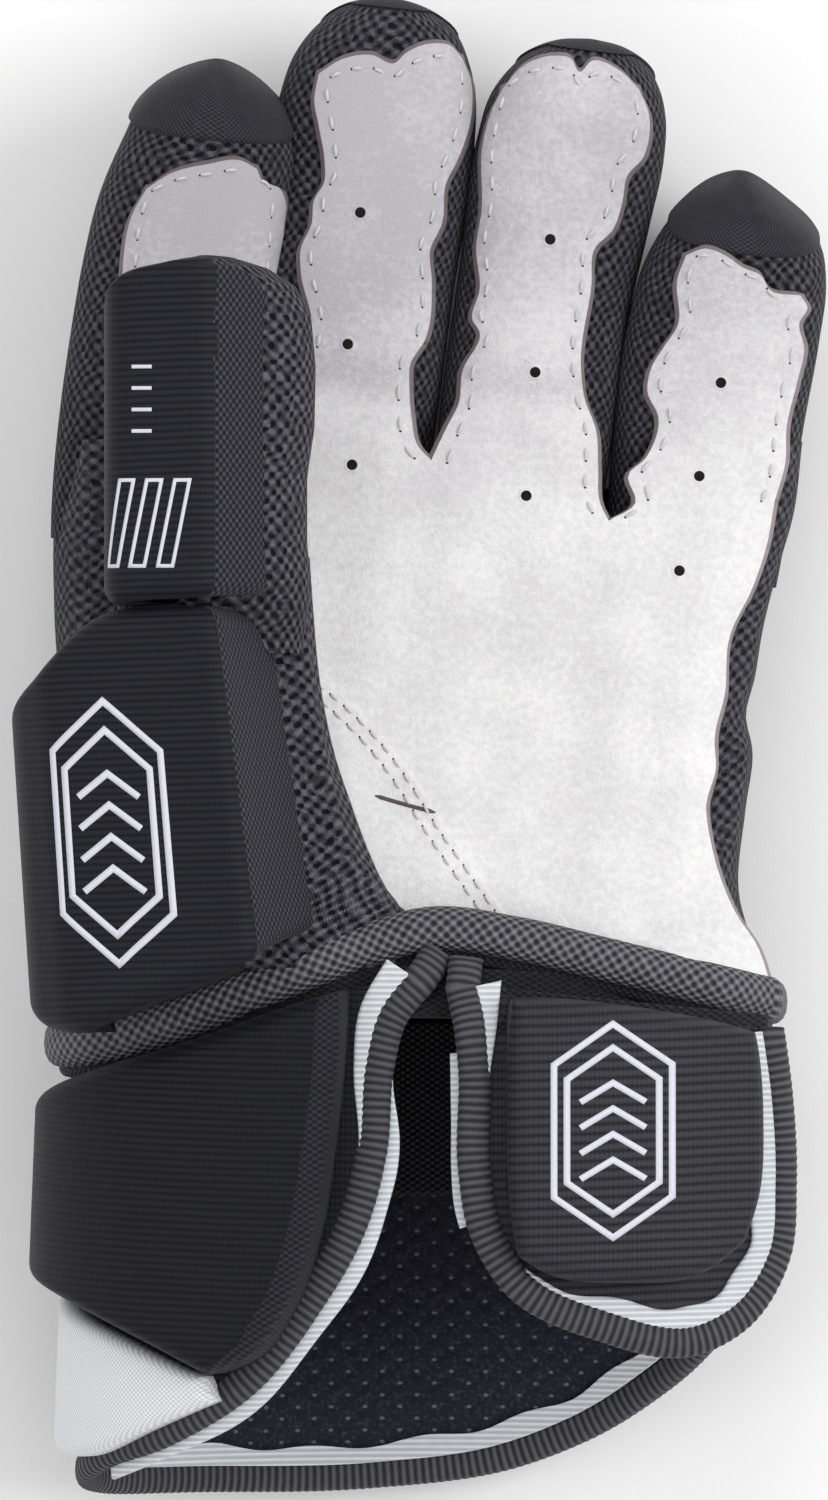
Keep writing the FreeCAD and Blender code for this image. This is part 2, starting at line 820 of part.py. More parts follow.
def make_cuff():
    """The cuff that wraps the thumb side and the back of the wrist."""
    edge = "-dims.binding_width"
    tape_edge = "-dims.binding_width - dims.tape_width"
    middle = dim("cuff_centre")
    liner = cuff_ring("cuff_liner_ring", "-dims.cuff_liner_thick", "0")
    inner = around("cuff_inner", CUFF_UPPER, CUFF_LOWER, edge)
    keep(combine("Common", "cuff_liner", liner, inner), "cuff_liner")

    out = "dims.binding_thick / 2 - dims.cuff_liner_thick / 2"
    rim_ring = cuff_ring("cuff_rim_ring", "-(dims.binding_thick + dims.cuff_liner_thick) / 2", out)
    whole = around("cuff_whole", CUFF_UPPER, CUFF_LOWER, "-0.01")
    inner_again = around("cuff_inner_rim", CUFF_UPPER, CUFF_LOWER, edge + " + 0.1")
    rim = combine("Cut", "cuff_rim", whole, inner_again)
    keep(combine("Common", "cuff_binding", rim_ring, rim), "cuff_binding")

    tape_ring = cuff_ring("cuff_tape_ring", "0.1", "0.1 + dims.tape_thick")
    tape_out = around("cuff_tape_out", CUFF_UPPER, CUFF_LOWER, edge + " - 0.2")
    tape_in = around("cuff_tape_in", CUFF_UPPER, CUFF_LOWER, tape_edge)
    tape_strip = combine("Cut", "cuff_tape_strip", tape_out, tape_in)
    keep(combine("Common", "cuff_tape", tape_ring, tape_strip), "cuff_tape")

    pad_ring = cuff_ring("cuff_pad_ring", "1.1", "1.1 + dims.cuff_pad_thick", "pad_reach")
    thumb_zone = upright("cuff_thumb_zone", THUMB_PAD_PLAN, 30, 110)
    keep(combine("Common", "cuff_thumb_pad", pad_ring, thumb_zone), "cuff_thumb_pad")
    back_ring = cuff_ring("cuff_back_ring", "0.3", "0.3 + dims.cuff_pad_thick")
    back_zone = upright("cuff_back_zone", BACK_PAD_PLAN, -20, middle - 6)
    keep(combine("Common", "cuff_back_pad", back_ring, back_zone), "cuff_back_pad")
    panel_ring = cuff_ring("cuff_panel_ring", "1.1", "1.1 + dims.side_panel_thick")
    panel_over = upright("cuff_panel_over", SIDE_PANEL_PLAN, 29.5, 110)
    panel_under = upright("cuff_panel_under", SIDE_PANEL_UNDER, -20, 29.5)
    panel_zone = combine("Fuse", "cuff_panel_zone", panel_over, panel_under)
    keep(combine("Common", "cuff_side_panel", panel_ring, panel_zone), "cuff_side_panel")


def make_flap():
    """The flap on the little-finger side, outside the cuff's lining, with its own binding and tape."""
    middle = dim("cuff_centre")
    edge = "-dims.binding_width"

    def flap_piece(name, inner, outer, zone):
        ring = cuff_ring(name + "_ring", inner, outer, "pad_reach")
        behind_seam = upright(name + "_behind_seam", FLAP_SEAM, middle - 1, 120)
        keep(combine("Common", name, combine("Common", name + "_zone", ring, zone), behind_seam), name)

    flap_piece("flap_liner", "3.0", "4.5", inset("flap_inner", FLAP_PLAN, middle, 110, edge))
    whole = inset("flap_whole", FLAP_PLAN, middle, 110, "-0.01")
    inner_again = inset("flap_inner_rim", FLAP_PLAN, middle, 110, edge + " + 0.1")
    flap_piece("flap_binding", "2.6", "7.4", combine("Cut", "flap_rim", whole, inner_again))
    tape_out = inset("flap_tape_out", FLAP_PLAN, middle, 110, edge + " - 0.2")
    tape_in = inset("flap_tape_in", FLAP_PLAN, middle, 110, "-dims.binding_width - dims.tape_width")
    flap_piece("flap_tape", "4.6", "5.4", combine("Cut", "flap_tape_strip", tape_out, tape_in))
    pad_zone = upright("flap_pad_zone", FLAP_PAD_PLAN, middle + 1, 110)
    flap_piece("flap_pad", "5.6", "5.0 + dims.cuff_pad_thick", pad_zone)


make_cuff()
make_flap()
doc.recompute()

# ---------------------------------------------------------------- checks and files

failed = [o.Name for o in doc.Objects if {"Invalid", "Error"} & set(o.State)]
if failed:
    raise RuntimeError(f"objects that didn't build: {failed}")
for piece in sub_parts:
    shape = piece.Shape
    if shape.isNull() or not shape.isValid() or shape.Volume <= 0:
        raise RuntimeError(f"{piece.Label} has no valid shape")

os.makedirs("parts", exist_ok=True)
for piece in sub_parts:
    piece.Shape.exportStep(os.path.join("parts", piece.Label + ".step"))
print(len(sub_parts), "sub-parts")
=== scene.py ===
"""Ice hockey glove for the left hand, lying palm up: suede palm, mesh sides, foam pads and an open cuff."""

import math

import bmesh
import bpy
import numpy as np
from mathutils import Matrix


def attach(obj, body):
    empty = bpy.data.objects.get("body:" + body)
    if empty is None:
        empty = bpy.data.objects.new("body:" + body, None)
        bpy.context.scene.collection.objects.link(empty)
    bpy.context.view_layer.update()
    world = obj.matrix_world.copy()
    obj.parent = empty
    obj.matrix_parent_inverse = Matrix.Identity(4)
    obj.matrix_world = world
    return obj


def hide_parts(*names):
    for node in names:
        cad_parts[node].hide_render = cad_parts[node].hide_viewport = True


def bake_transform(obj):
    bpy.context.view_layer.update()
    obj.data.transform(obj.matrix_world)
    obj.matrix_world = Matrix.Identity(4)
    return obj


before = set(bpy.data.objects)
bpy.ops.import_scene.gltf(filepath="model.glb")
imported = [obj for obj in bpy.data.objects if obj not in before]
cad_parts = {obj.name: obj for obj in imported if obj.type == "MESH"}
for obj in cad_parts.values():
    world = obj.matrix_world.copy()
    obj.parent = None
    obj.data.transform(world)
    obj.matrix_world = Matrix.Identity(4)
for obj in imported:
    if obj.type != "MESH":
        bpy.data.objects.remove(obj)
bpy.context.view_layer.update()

# ---- The bench ----
# The glove lies on its padded back on a pale bench under wide soft lamps. It is looked at from straight
# above the palm, from a little over a metre and a half away.
SHIFT = np.array((-2.32, -1.47, 0.0))  # millimetres from the maker's own middle to the frame's
CAMERA_HEIGHT = 1.615
VIEW_DISTANCE = 1.6
VIEW_HEIGHT = 0.25536  # what the view takes in along the glove, at that distance


def ink(red, green, blue):
    """A colour chart value, 0 to 255, as the linear colour that a shader takes."""
    share = np.array((red, green, blue)) / 255
    linear = np.where(share <= 0.04045, share / 12.92, ((share + 0.055) / 1.055) ** 2.4)
    return (*linear.tolist(), 1.0)


def finish(name, colour, rough, sheen=0.0, specular=0.5):
    """A plain finish; what makes it cloth or leather is added to it."""
    made = bpy.data.materials.new(name)
    made.use_nodes = True
    shader = made.node_tree.nodes["Principled BSDF"]
    shader.inputs["Base Color"].default_value = ink(*colour)
    shader.inputs["Roughness"].default_value = rough
    shader.inputs["Sheen Weight"].default_value = sheen
    shader.inputs["Sheen Roughness"].default_value = 0.5
    shader.inputs["Specular IOR Level"].default_value = specular
    return made


def node(made, kind, **values):
    """One shader node with its sockets set or linked, by name or number."""
    new = made.node_tree.nodes.new(kind)
    for key, value in values.items():
        socket = new.inputs[int(key[1:]) if key[0] == "_" else key.replace("_", " ")]
        if isinstance(value, bpy.types.NodeSocket):
            made.node_tree.links.new(value, socket)
        else:
            socket.default_value = value
    return new


def maths(made, kind, *values):
    """One sum on numbers or on other nodes' outputs."""
    new = node(made, "ShaderNodeMath", **{f"_{k}": value for k, value in enumerate(values)})
    new.operation = kind
    return new.outputs[0]


def ripple(made, run, pitch, kind="COSINE"):
    """A wave from -1 to 1 that comes round every pitch millimetres of the run."""
    return maths(made, kind, maths(made, "MULTIPLY", run, 2 * math.pi / pitch))


def between(made, value, low, high):
    """0 where the value is under low, 1 over high, and a soft step between."""
    new = node(made, "ShaderNodeMapRange", Value=value, From_Min=low, From_Max=high)
    new.interpolation_type = "SMOOTHSTEP"
    return new.outputs[0]


def along_cloth(made):
    """Millimetres across and along the cloth."""
    new = made.node_tree.nodes.new("ShaderNodeUVMap")
    new.uv_map = "cloth"
    split = node(made, "ShaderNodeSeparateXYZ", Vector=new.outputs[0])
    return split.outputs[0], split.outputs[1]


def blotches(made, size, detail=3.0):
    """Soft uneven blotches of about that size in millimetres, 0 to 1."""
    place = made.node_tree.nodes.new("ShaderNodeTexCoord").outputs["Object"]
    return node(made, "ShaderNodeTexNoise", Vector=place, Scale=1000 / size, Detail=detail).outputs[0]


def coloured_by(made, share, low, high):
    """The finish's colour runs from low, or from the colour it has where low is None, to high with the share;
    the share carries pattern and random tone, and in some finishes painted light and shade.
    """
    colour = made.node_tree.nodes["Principled BSDF"].inputs["Base Color"]
    mix = made.node_tree.nodes.new("ShaderNodeMix")
    mix.data_type = "RGBA"
    made.node_tree.links.new(share, mix.inputs[0])
    if low is None:
        made.node_tree.links.new(colour.links[0].from_socket, mix.inputs[6])
    else:
        mix.inputs[6].default_value = ink(*low)
    mix.inputs[7].default_value = ink(*high)
    made.node_tree.links.new(mix.outputs[2], colour)


def raised(made, height, depth):
    """The surface stands up by depth millimetres where height is 1."""
    bump = node(made, "ShaderNodeBump", Height=height, Distance=depth / 1000)
    made.node_tree.links.new(bump.outputs[0], made.node_tree.nodes["Principled BSDF"].inputs["Normal"])


bench_paint = finish("bench_paint", (252, 252, 252), 0.9, specular=0.2)
coloured_by(bench_paint, blotches(bench_paint, 400.0), (250, 250, 250), (254, 254, 254))
bpy.ops.mesh.primitive_grid_add(x_subdivisions=2, y_subdivisions=2, size=8.0)
bench = bpy.context.object
bench.name = "bench"
bench.data.materials.append(bench_paint)

bpy.context.scene.view_settings.view_transform = "Standard"
sky = bpy.data.worlds.new("soft_room")
bpy.context.scene.world = sky
sky.use_nodes = True
sky.node_tree.nodes["Background"].inputs[0].default_value = (1.0, 1.0, 1.0, 1.0)
sky.node_tree.nodes["Background"].inputs[1].default_value = 0.62
LAMPS = {  # place in metres, size in metres, watts
    "lamp_right": ((0.95, 0.15, 1.05), 0.7, 9.0),
    "lamp_far": ((-0.25, 1.0, 1.2), 0.9, 5.0),
    "lamp_left": ((-1.1, -0.3, 0.9), 0.8, 2.5),
}
for lamp_name, (lamp_place, lamp_size, watts) in LAMPS.items():
    lamp = bpy.data.objects.new(lamp_name, bpy.data.lights.new(lamp_name, "AREA"))
    bpy.context.collection.objects.link(lamp)
    lamp.data.size = lamp_size
    lamp.data.energy = watts
    lamp.location = lamp_place
    lamp.rotation_euler = (-lamp.location).to_track_quat("-Z", "Y").to_euler()

camera = bpy.data.objects.new("camera", bpy.data.cameras.new("camera"))
bpy.context.collection.objects.link(camera)
camera.location = (SHIFT[0] / 1000, SHIFT[1] / 1000, CAMERA_HEIGHT)
camera.data.lens = camera.data.sensor_width / 2 / (VIEW_HEIGHT / 2 / VIEW_DISTANCE)
bpy.context.scene.camera = camera

# ---- Palm ----
# The palm is one sheet of white suede from the wrist to the roots of the fingers. Its edge is cut raw, so
# the grey inside of the hide shows round it, and it rises to the heel and towards the thumb.
KNUCKLE_HEIGHT = 34.0
FACE_HEIGHT = 39.0  # the palm at the index finger's root
SUEDE = 1.1
RAW_FOOT = 0.25  # how high a raw edge stands where it spreads out
RIM_CLOSE = 0.75  # how much closer together points lie by a rounded rim


def ease(low, high, value):
    """0 before low, 1 after high, and a soft step between."""
    share = np.clip((np.asarray(value, float) - low) / (high - low), 0, 1)
    return share * share * (3 - 2 * share)


def flowing(points, count):
    """Evenly spaced points along a smooth line through the given ones."""
    knots = np.asarray(points, float)
    steps = np.linalg.norm(np.diff(knots, axis=0), axis=1)
    at = np.concatenate(([0], np.cumsum(steps)))
    lean = np.gradient(knots, at, axis=0)
    fine = np.linspace(0, at[-1], 40 * len(knots))
    k = np.clip(np.searchsorted(at, fine, side="right") - 1, 0, len(steps) - 1)
    t = ((fine - at[k]) / steps[k])[:, None]
    line = (
        (2 * t**3 - 3 * t**2 + 1) * knots[k]
        + (t**3 - 2 * t**2 + t) * steps[k][:, None] * lean[k]
        + (3 * t**2 - 2 * t**3) * knots[k + 1]
        + (t**3 - t**2) * steps[k][:, None] * lean[k + 1]
    )
    return evenly(line, count)


def evenly(line, count):
    """The same line, with count points spaced evenly along it."""
    line = np.asarray(line, float)
    run = np.concatenate(([0], np.cumsum(np.linalg.norm(np.diff(line, axis=0), axis=1))))
    wanted = np.linspace(0, run[-1], count)
    return np.stack([np.interp(wanted, run, column) for column in line.T], -1)


def patch(bottom, top, left, right):
    """A sheet between four edge lines: gives the place for shares p across and q along."""

    def on(line, share):
        spots = np.linspace(0, 1, len(line))
        return np.stack([np.interp(share, spots, column) for column in np.asarray(line, float).T], -1)

    b0, b1, t0, t1 = (np.asarray(c, float) for c in (bottom[0], bottom[-1], top[0], top[-1]))

    def place(p, q):
        pp, qq = np.asarray(p)[..., None], np.asarray(q)[..., None]
        sides = (1 - pp) * on(left, q) + pp * on(right, q)
        ends = (1 - qq) * on(bottom, p) + qq * on(top, p)
        corners = (1 - pp) * (1 - qq) * b0 + pp * (1 - qq) * b1 + (1 - pp) * qq * t0 + pp * qq * t1
        return sides + ends - corners

    return place


def in_frame(place):
    """A place in the maker's millimetres, as metres in the frame."""
    return (np.asarray(place, float) + SHIFT) / 1000


def sew(name, sheets, finishes, crisp=False):
    """One piece from sheets welded where they meet. A sheet is its points, cloth places and finish number."""
    points, faces, corners, which, start = [], [], [], [], 0
    for sheet, cloth, number in sheets:
        rows, columns = sheet.shape[:2]
        i, j = np.meshgrid(np.arange(rows - 1), np.arange(columns - 1), indexing="ij")
        corner = start + i * columns + j
        four = (corner, corner + 1, corner + columns + 1, corner + columns)
        faces.append(np.stack(four, -1).reshape(-1, 4))
        spots = (cloth[i, j], cloth[i, j + 1], cloth[i + 1, j + 1], cloth[i + 1, j])
        corners.append(np.stack(spots, -2).reshape(-1, 2))
        which.append(np.broadcast_to(number, i.shape).ravel())
        points.append(sheet.reshape(-1, 3))
        start += rows * columns
    mesh = bpy.data.meshes.new(name)
    mesh.from_pydata(in_frame(np.concatenate(points)).tolist(), [], np.concatenate(faces).tolist())
    cloth_places = np.concatenate(corners).astype(np.float32)
    mesh.uv_layers.new(name="cloth").data.foreach_set("uv", cloth_places.ravel())
    mesh.polygons.foreach_set("material_index", np.concatenate(which).astype(np.int32))
    for made in finishes:
        mesh.materials.append(made)
    cloth_mesh = bmesh.new()
    cloth_mesh.from_mesh(mesh)
    bmesh.ops.remove_doubles(cloth_mesh, verts=cloth_mesh.verts, dist=3e-6)
    bmesh.ops.recalc_face_normals(cloth_mesh, faces=cloth_mesh.faces)
    for face in cloth_mesh.faces:
        face.smooth = True
    if crisp:
        for edge in cloth_mesh.edges:
            numbers = {face.material_index for face in edge.link_faces}
            edge.smooth = len(numbers) < 2
    cloth_mesh.to_mesh(mesh)
    cloth_mesh.free()
    made_piece = bpy.data.objects.new(name, mesh)
    bpy.context.collection.objects.link(made_piece)
    return made_piece


def shares(count, edge=0.0):
    """Shares from 0 to 1, closer together near both ends where edge is over 0."""
    even = np.linspace(0, 1, count)
    return even - edge * np.sin(2 * np.pi * even) / (2 * np.pi)


def slab(name, place, wrap, thick, finishes, across=40, along=40, edge=0.0, flare=0.0, plain=(), soft=0.0,
         zone=None, crown=0.0, wall=None, under=0):
    """A pad, panel or sheet: place(p, q) is its outline on the layer below, and wrap(u, v, height) lays it.

    edge rounds its upper rim, flare spreads its cut edge outward, except along the plain sides."""
    near_rim = RIM_CLOSE if edge else 0
    p, q = np.meshgrid(shares(across, near_rim), shares(along, near_rim))
    pp, qq = 2 * p - 1, 2 * q - 1
    spread = place((1 + pp * (1 - soft * qq**6 * pp**2)) / 2, (1 + qq * (1 - soft * pp**6 * qq**2)) / 2)
    steps_across = np.linalg.norm(np.diff(spread, axis=1), axis=2)
    steps_along = np.linalg.norm(np.diff(spread, axis=0), axis=2)
    from_left = np.concatenate((np.zeros((along, 1)), np.cumsum(steps_across, 1)), 1)
    from_low = np.concatenate((np.zeros((1, across)), np.cumsum(steps_along, 0)), 0)
    gaps = {"left": from_left, "right": from_left[:, -1:] - from_left, "low": from_low,
            "high": from_low[-1:] - from_low}
    inward = np.min([gap for side, gap in gaps.items() if side not in plain], axis=0)
    height = np.full(inward.shape, float(thick))
    if edge:
        height += np.sqrt(edge**2 - np.clip(edge - inward, 0, edge) ** 2) - edge
    height += crown * (1 - (1 - inward / max(inward.max(), 1e-6)) ** 2)
    out = np.zeros(spread.shape)
    for side, rim, inner in (("low", 0, 1), ("high", -1, -2)):
        if side not in plain:
            out[rim] += spread[rim] - spread[inner]
    for side, rim, inner in (("left", 0, 1), ("right", -1, -2)):
        if side not in plain:
            out[:, rim] += spread[:, rim] - spread[:, inner]
    out /= np.maximum(np.linalg.norm(out, axis=2, keepdims=True), 1e-9)

    def lie(spots, level):
        return wrap(spots[..., 0], spots[..., 1], level)

    def round_rim(field):
        return np.concatenate((field[0], field[1:, -1], field[-1, -2::-1], field[-2::-1, 0]))

    rim, rim_out, rim_height = round_rim(spread), round_rim(out), round_rim(height[..., None])[:, 0]
    foot, foot_height = rim + rim_out * flare, np.minimum(rim_height, RAW_FOOT if flare else thick / 2)
    levels = [(rim, rim_height), (foot, foot_height), (foot, rim_height * 0), (rim, rim_height * 0)]
    drop = [np.zeros(len(rim)), rim_height / 2, rim_height, rim_height]
    walls = np.stack([lie(spots, level) for spots, level in levels])
    cloth_walls = np.stack([rim + rim_out * fall[:, None] for fall in drop])
    number = 0
    if zone is not None:
        middle = (spread[1:, 1:] + spread[:-1, :-1]) / 2
        number = zone(middle[..., 0], middle[..., 1])
    if wall is None:
        wall_middle = (rim[1:] + rim[:-1]) / 2
        wall = 0 if zone is None else zone(wall_middle[:, 0], wall_middle[:, 1])[None, :]
    sheets = [(lie(spread, height), spread, number), (walls, cloth_walls, wall),
              (lie(spread, height * 0), spread, under)]
    return sew(name, sheets, finishes, crisp=bool(flare))


def suede_finish(name, low, high):
    """Matte split hide: fine nap and faint blotches, with painted shade that greys it towards the fingertips,
    most on the thumb side.
    """
    made = finish(name, high, 0.95, sheen=0.1, specular=0.1)
    nap, cloud = blotches(made, 1.1, 6.0), blotches(made, 16.0)
    place = made.node_tree.nodes.new("ShaderNodeTexCoord").outputs["Object"]
    spot = node(made, "ShaderNodeSeparateXYZ", Vector=place).outputs
    # Painted shade: greyer up the fingers, and more so on the thumb side, where the thumb's shadow falls.
    thumb_side = maths(made, "MULTIPLY", between(made, spot[0], 0.03, -0.02), 0.3)
    strength = maths(made, "ADD", thumb_side, 0.52)
    up_hand = maths(made, "MULTIPLY", between(made, spot[1], 0.025, 0.1), strength)
    share = maths(made, "ADD", maths(made, "MULTIPLY", nap, 0.5), maths(made, "MULTIPLY", cloud, 0.5))
    share = maths(made, "SUBTRACT", maths(made, "MULTIPLY", between(made, share, 0.3, 0.72), 0.45), up_hand)
    coloured_by(made, maths(made, "ADD", share, 0.5), low, high)
    fine = blotches(made, 0.45, 4.0)
    raised(made, maths(made, "ADD", fine, maths(made, "MULTIPLY", cloud, 1.5)), 0.16)
    return made


# The darker hide colour is both the low end of the random blotches and the colour of the painted shade.
HIDE_TONE_AND_SHADE = ((184, 181, 187), (241, 240, 239))
palm_suede = suede_finish("palm_suede_nap", *HIDE_TONE_AND_SHADE)
finger_suede = suede_finish("finger_suede_nap", *HIDE_TONE_AND_SHADE)
raw_edge = suede_finish("suede_raw_edge", (116, 106, 108), (158, 148, 149))
thread = finish("white_thread", (206, 203, 204), 0.6, sheen=0.3)
raised(thread, blotches(thread, 0.3), 0.05)
# Painted shade: a near-black finish for the discs that stand for the dark inside of needle and vent holes.
painted_hole_shade = finish("painted_hole_shade", (36, 30, 30), 1.0, specular=0.0)
coloured_by(painted_hole_shade, blotches(painted_hole_shade, 1.0), (26, 22, 22), (46, 40, 40))
slit_painted_shade = suede_finish("slit_painted_shade", (74, 64, 66), (104, 92, 94))

WRIST_LINE = ((-8, -31.5), (2.7, -28), (16, -29), (31, -32.5), (47.5, -36), (60, -40.5))
PALM_RIGHT = ((60, -40.5), (57.3, -32.7), (53.6, -27.1), (51.1, -21.4), (49.4, -15), (48.7, -9.2), (50.4, -3),
              (50.2, 2), (52, 9.4), (52.8, 18.8), (56.8, 27.3), (59.1, 34.2), (60.4, 41.6))
PALM_LEFT = ((-8, -31.5), (-15, -18), (-21, -2), (-27, 16), (-37, 32), (-47, 42))
ROOTS = ((-47, 42), (-27, 48), (2.9, 48.6), (32.6, 38.4), (60.4, 41.6))  # beside and between the fingers
ROOT_COLUMNS = 19
FINGER_NAMES = ("index", "middle", "ring", "little")
root_lines = {
    finger: np.linspace(ROOTS[k], ROOTS[k + 1], ROOT_COLUMNS) for k, finger in enumerate(FINGER_NAMES)
}


def palm_height(x, y):
    """The palm's height: a slope up to the heel, hollow in the middle, up at the thumb, down at the rim."""
    height = FACE_HEIGHT + 0.18 * (47 - y)
    height = height - 3.0 * np.exp(-(((x - 16) / 26) ** 2) - ((y - 8) / 28) ** 2)
    height = height - 9.0 * (np.clip(x - 42, 0, None) / 16) ** 2 * ease(46, 10, y)
    height = height + 3.2 * (np.clip(-8 - x, 0, 20) / 12) ** 2 * ease(44, 20, y)
    return height + 0.35 * np.sin(0.31 * x + 0.17 * y + 1.0) * np.sin(0.13 * x - 0.21 * y)


def on_palm(x, y, height):
    """A place on the palm, and height millimetres above it."""
    x, y, height = np.broadcast_arrays(x, y, height)
    return np.stack((x, y, palm_height(x, y) + height), -1)


def bending(first, second, start, end):
    """The bodies that a piece bends between, and the two places where the bend begins and ends."""
    return first, second, tuple(in_frame(start)), tuple(in_frame(end))


def follow(made_piece, body, nodes=()):
    """The piece moves with one body; given two, it is only baked where it lies. It stands for its plain
    solids.
    """
    if isinstance(body, str):
        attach(made_piece, body)
    else:
        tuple(body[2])
        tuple(body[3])
        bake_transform(made_piece)
    if nodes:
        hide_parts(*nodes)
    return made_piece


palm_top = np.concatenate([root_lines[f][:-1] for f in FINGER_NAMES] + [[ROOTS[-1]]])
palm_area = patch(flowing(WRIST_LINE, 73), palm_top, flowing(PALM_LEFT, 50), flowing(PALM_RIGHT, 90))
palm = slab("palm_suede_sheet", palm_area, on_palm, SUEDE, [palm_suede, raw_edge], len(palm_top), 70,
            flare=0.7, plain=("low", "high", "left"), wall=1)
follow(palm, "hand", ["palm_suede"])


def stitches(line, wrap, height, long=3.0, gap=1.3, thick=0.34):
    """White stitches along a line, each a short thread that dips into a needle hole at both ends."""
    length = np.sum(np.linalg.norm(np.diff(line, axis=0), axis=1))
    count = max(1, int(length / (long + gap)))
    fine = evenly(line, count * 16 + 1)
    sheets = []
    for k in range(count):
        run = fine[k * 16:k * 16 + max(3, int(16 * long / (long + gap)))]
        run = run[:: max(1, len(run) // 5)]
        bow = np.sin(np.linspace(0, np.pi, len(run)))
        middle = wrap(run[:, 0], run[:, 1], height + 0.28 * bow)
        ahead = np.gradient(middle, axis=0)
        ahead /= np.linalg.norm(ahead, axis=1, keepdims=True)
        up = wrap(run[:, 0], run[:, 1], height + 1.0) - wrap(run[:, 0], run[:, 1], height)
        side = np.cross(ahead, up)
        turn = np.linspace(0, 2 * np.pi, 7)[None, :, None]
        width = (thick * np.clip(bow * 2.2 + 0.15, 0, 1))[:, None, None]
        ring = middle[:, None] + width * (np.cos(turn) * side[:, None] + 0.8 * np.sin(turn) * up[:, None])
        sheets.append((ring, ring[..., :2], 0))
        # The needle hole is a small flat disc of painted shade.
        spot = wrap(run[:1, 0], run[:1, 1], height + 0.05)
        across = (0.24 * np.cos(turn) * side[0] + 0.24 * np.sin(turn) * ahead[0])[0]
        hole = np.stack((spot + across, np.repeat(spot, 7, 0) + 0.02 * up[:1]))
        sheets.append((hole, hole[..., :2], 1))
    return sheets


# ---- Palm overlay ----
# A second layer of suede covers the thumb side of the palm and the heel. A double row of stitches holds its
# slanting edge, and a short slit by it lets the palm give.
OVERLAY_EDGE = ((-18, 13.5), (-11, 8), (-4, 0.8), (0.5, -5.5), (4.3, -11.7), (10, -20), (16, -28.6))
overlay_area = patch(
    flowing(((-8, -30.6), (3, -27.6), (16, -28.6)), 30), flowing(((-26, 12), (-22, 13), (-18, 13.5)), 30),
    flowing(((-8, -30.6), (-16, -15), (-23, 0), (-26, 12)), 40), flowing(OVERLAY_EDGE[::-1], 40))
overlay = slab("palm_overlay_sheet", overlay_area, lambda x, y, h: on_palm(x, y, h + SUEDE - 0.15), 0.55,
               [palm_suede, raw_edge], flare=0.15, plain=("low", "left"), wall=0)
follow(overlay, "hand", ["palm_overlay"])
edge_line = flowing(OVERLAY_EDGE, 60)
sheets = []
for step in (1.0, 3.0):
    row = edge_line - np.array((step * 0.85, step * 0.5))
    sheets += stitches(row, on_palm, SUEDE + 0.42, 2.1, 0.9, 0.24)
follow(sew("palm_overlay_stitches", sheets, [thread, painted_hole_shade]), "hand")
# The slit is a thin dark strip laid over the hide: its cut edges, painted darker than the raw edge as shade
# in the opening.
slit_line = flowing(((-6.5, -7.6), (-1, -9.2), (3.6, -10.4)), 24)
slit_width = 0.34 * np.clip(3 * np.sin(np.linspace(0.1, np.pi - 0.1, 24)), 0, 1)[:, None]
slit_section = ((-1, 0.46), (-1, 0.5), (1, 0.5), (1, 0.46))  # side, and height above the hide
slit_sheet = np.stack([on_palm(*(slit_line + (0, side) * slit_width).T, SUEDE + level)
                       for side, level in slit_section])
follow(sew("palm_slit", [(slit_sheet, slit_sheet[..., :2], 0)], [slit_painted_shade]), "hand")

# ---- Finger sleeves ----
# Each finger is a sleeve of open air mesh that goes round the finger and closes at its tip. It is made as a
# lower half about the knuckle and an upper half about the middle joint.
FINGERS = {  # root, lean, rise, curl, base length, tip, outline on the left and on the right
    "index": dict(root=(-43, 47), lean=6.0, rise=2.0, curl=12.0, base=33, tip=67.8,
                  left=((-24, -16), (-6, -17.6), (20, -17.4), (34, -16.4), (44, -14.8), (54, -11.6),
                        (60, -9.2), (64.2, -5.0), (66.6, -0.5)),
                  right=((-24, 15.0), (0, 16.0), (25, 16.8), (45, 17.4), (56, 17.0), (60.6, 14.6), (64, 11),
                         (66.6, 6.5))),
    "middle": dict(root=(-12.2, 53), lean=6.0, rise=2.0, curl=4.0, base=35, tip=73.4,
                   left=((-24, -15), (0, -15.5), (40, -16.5), (55.7, -16.3), (62.4, -14.6), (68.2, -10.8),
                         (71.7, -6.2), (73, -2)),
                   right=((-24, 14), (0, 15.5), (25, 16.2), (50, 17.2), (59, 16.4), (64, 14.8),
                          (68.3, 12.4), (71.3, 8.4), (73, 3.6))),
    "ring": dict(root=(18.6, 50), lean=7.1, rise=2.0, curl=6.0, base=33, tip=69.5,
                 left=((-24, -14), (0, -15), (30, -14.8), (49.8, -14.6), (59.2, -12.8), (65.7, -7.9),
                       (68.7, -2.4)),
                 right=((-24, 13), (4, 14.6), (24, 14.6), (40.6, 16.3), (51.3, 17.2), (58.2, 16.6),
                        (62.7, 15), (66.5, 12), (68.8, 7.5))),
    "little": dict(root=(49.7, 42), lean=7.2, rise=4.0, curl=16.0, base=26, tip=52.4,
                   left=((-24, -15), (8, -17.4), (26.8, -17.4), (37.7, -15.3), (42.4, -13.1), (46.2, -10.5),
                         (49.8, -6.8), (51.6, -3.4)),
                   right=((-24, 12.5), (0, 13.9), (15, 14.4), (28, 15.1), (36, 15.0), (41, 13.8),
                          (44.9, 11.2), (48.2, 6.5), (51.6, 0.4))),
}
SECTION_POWER = 2.7
MID_HEIGHT, TOP_REACH, LOW_REACH = -6.0, 10.2, 12.3  # of a sleeve's section, from the finger's axis
FINGER_RUN = np.linspace(-30, 80, 441)
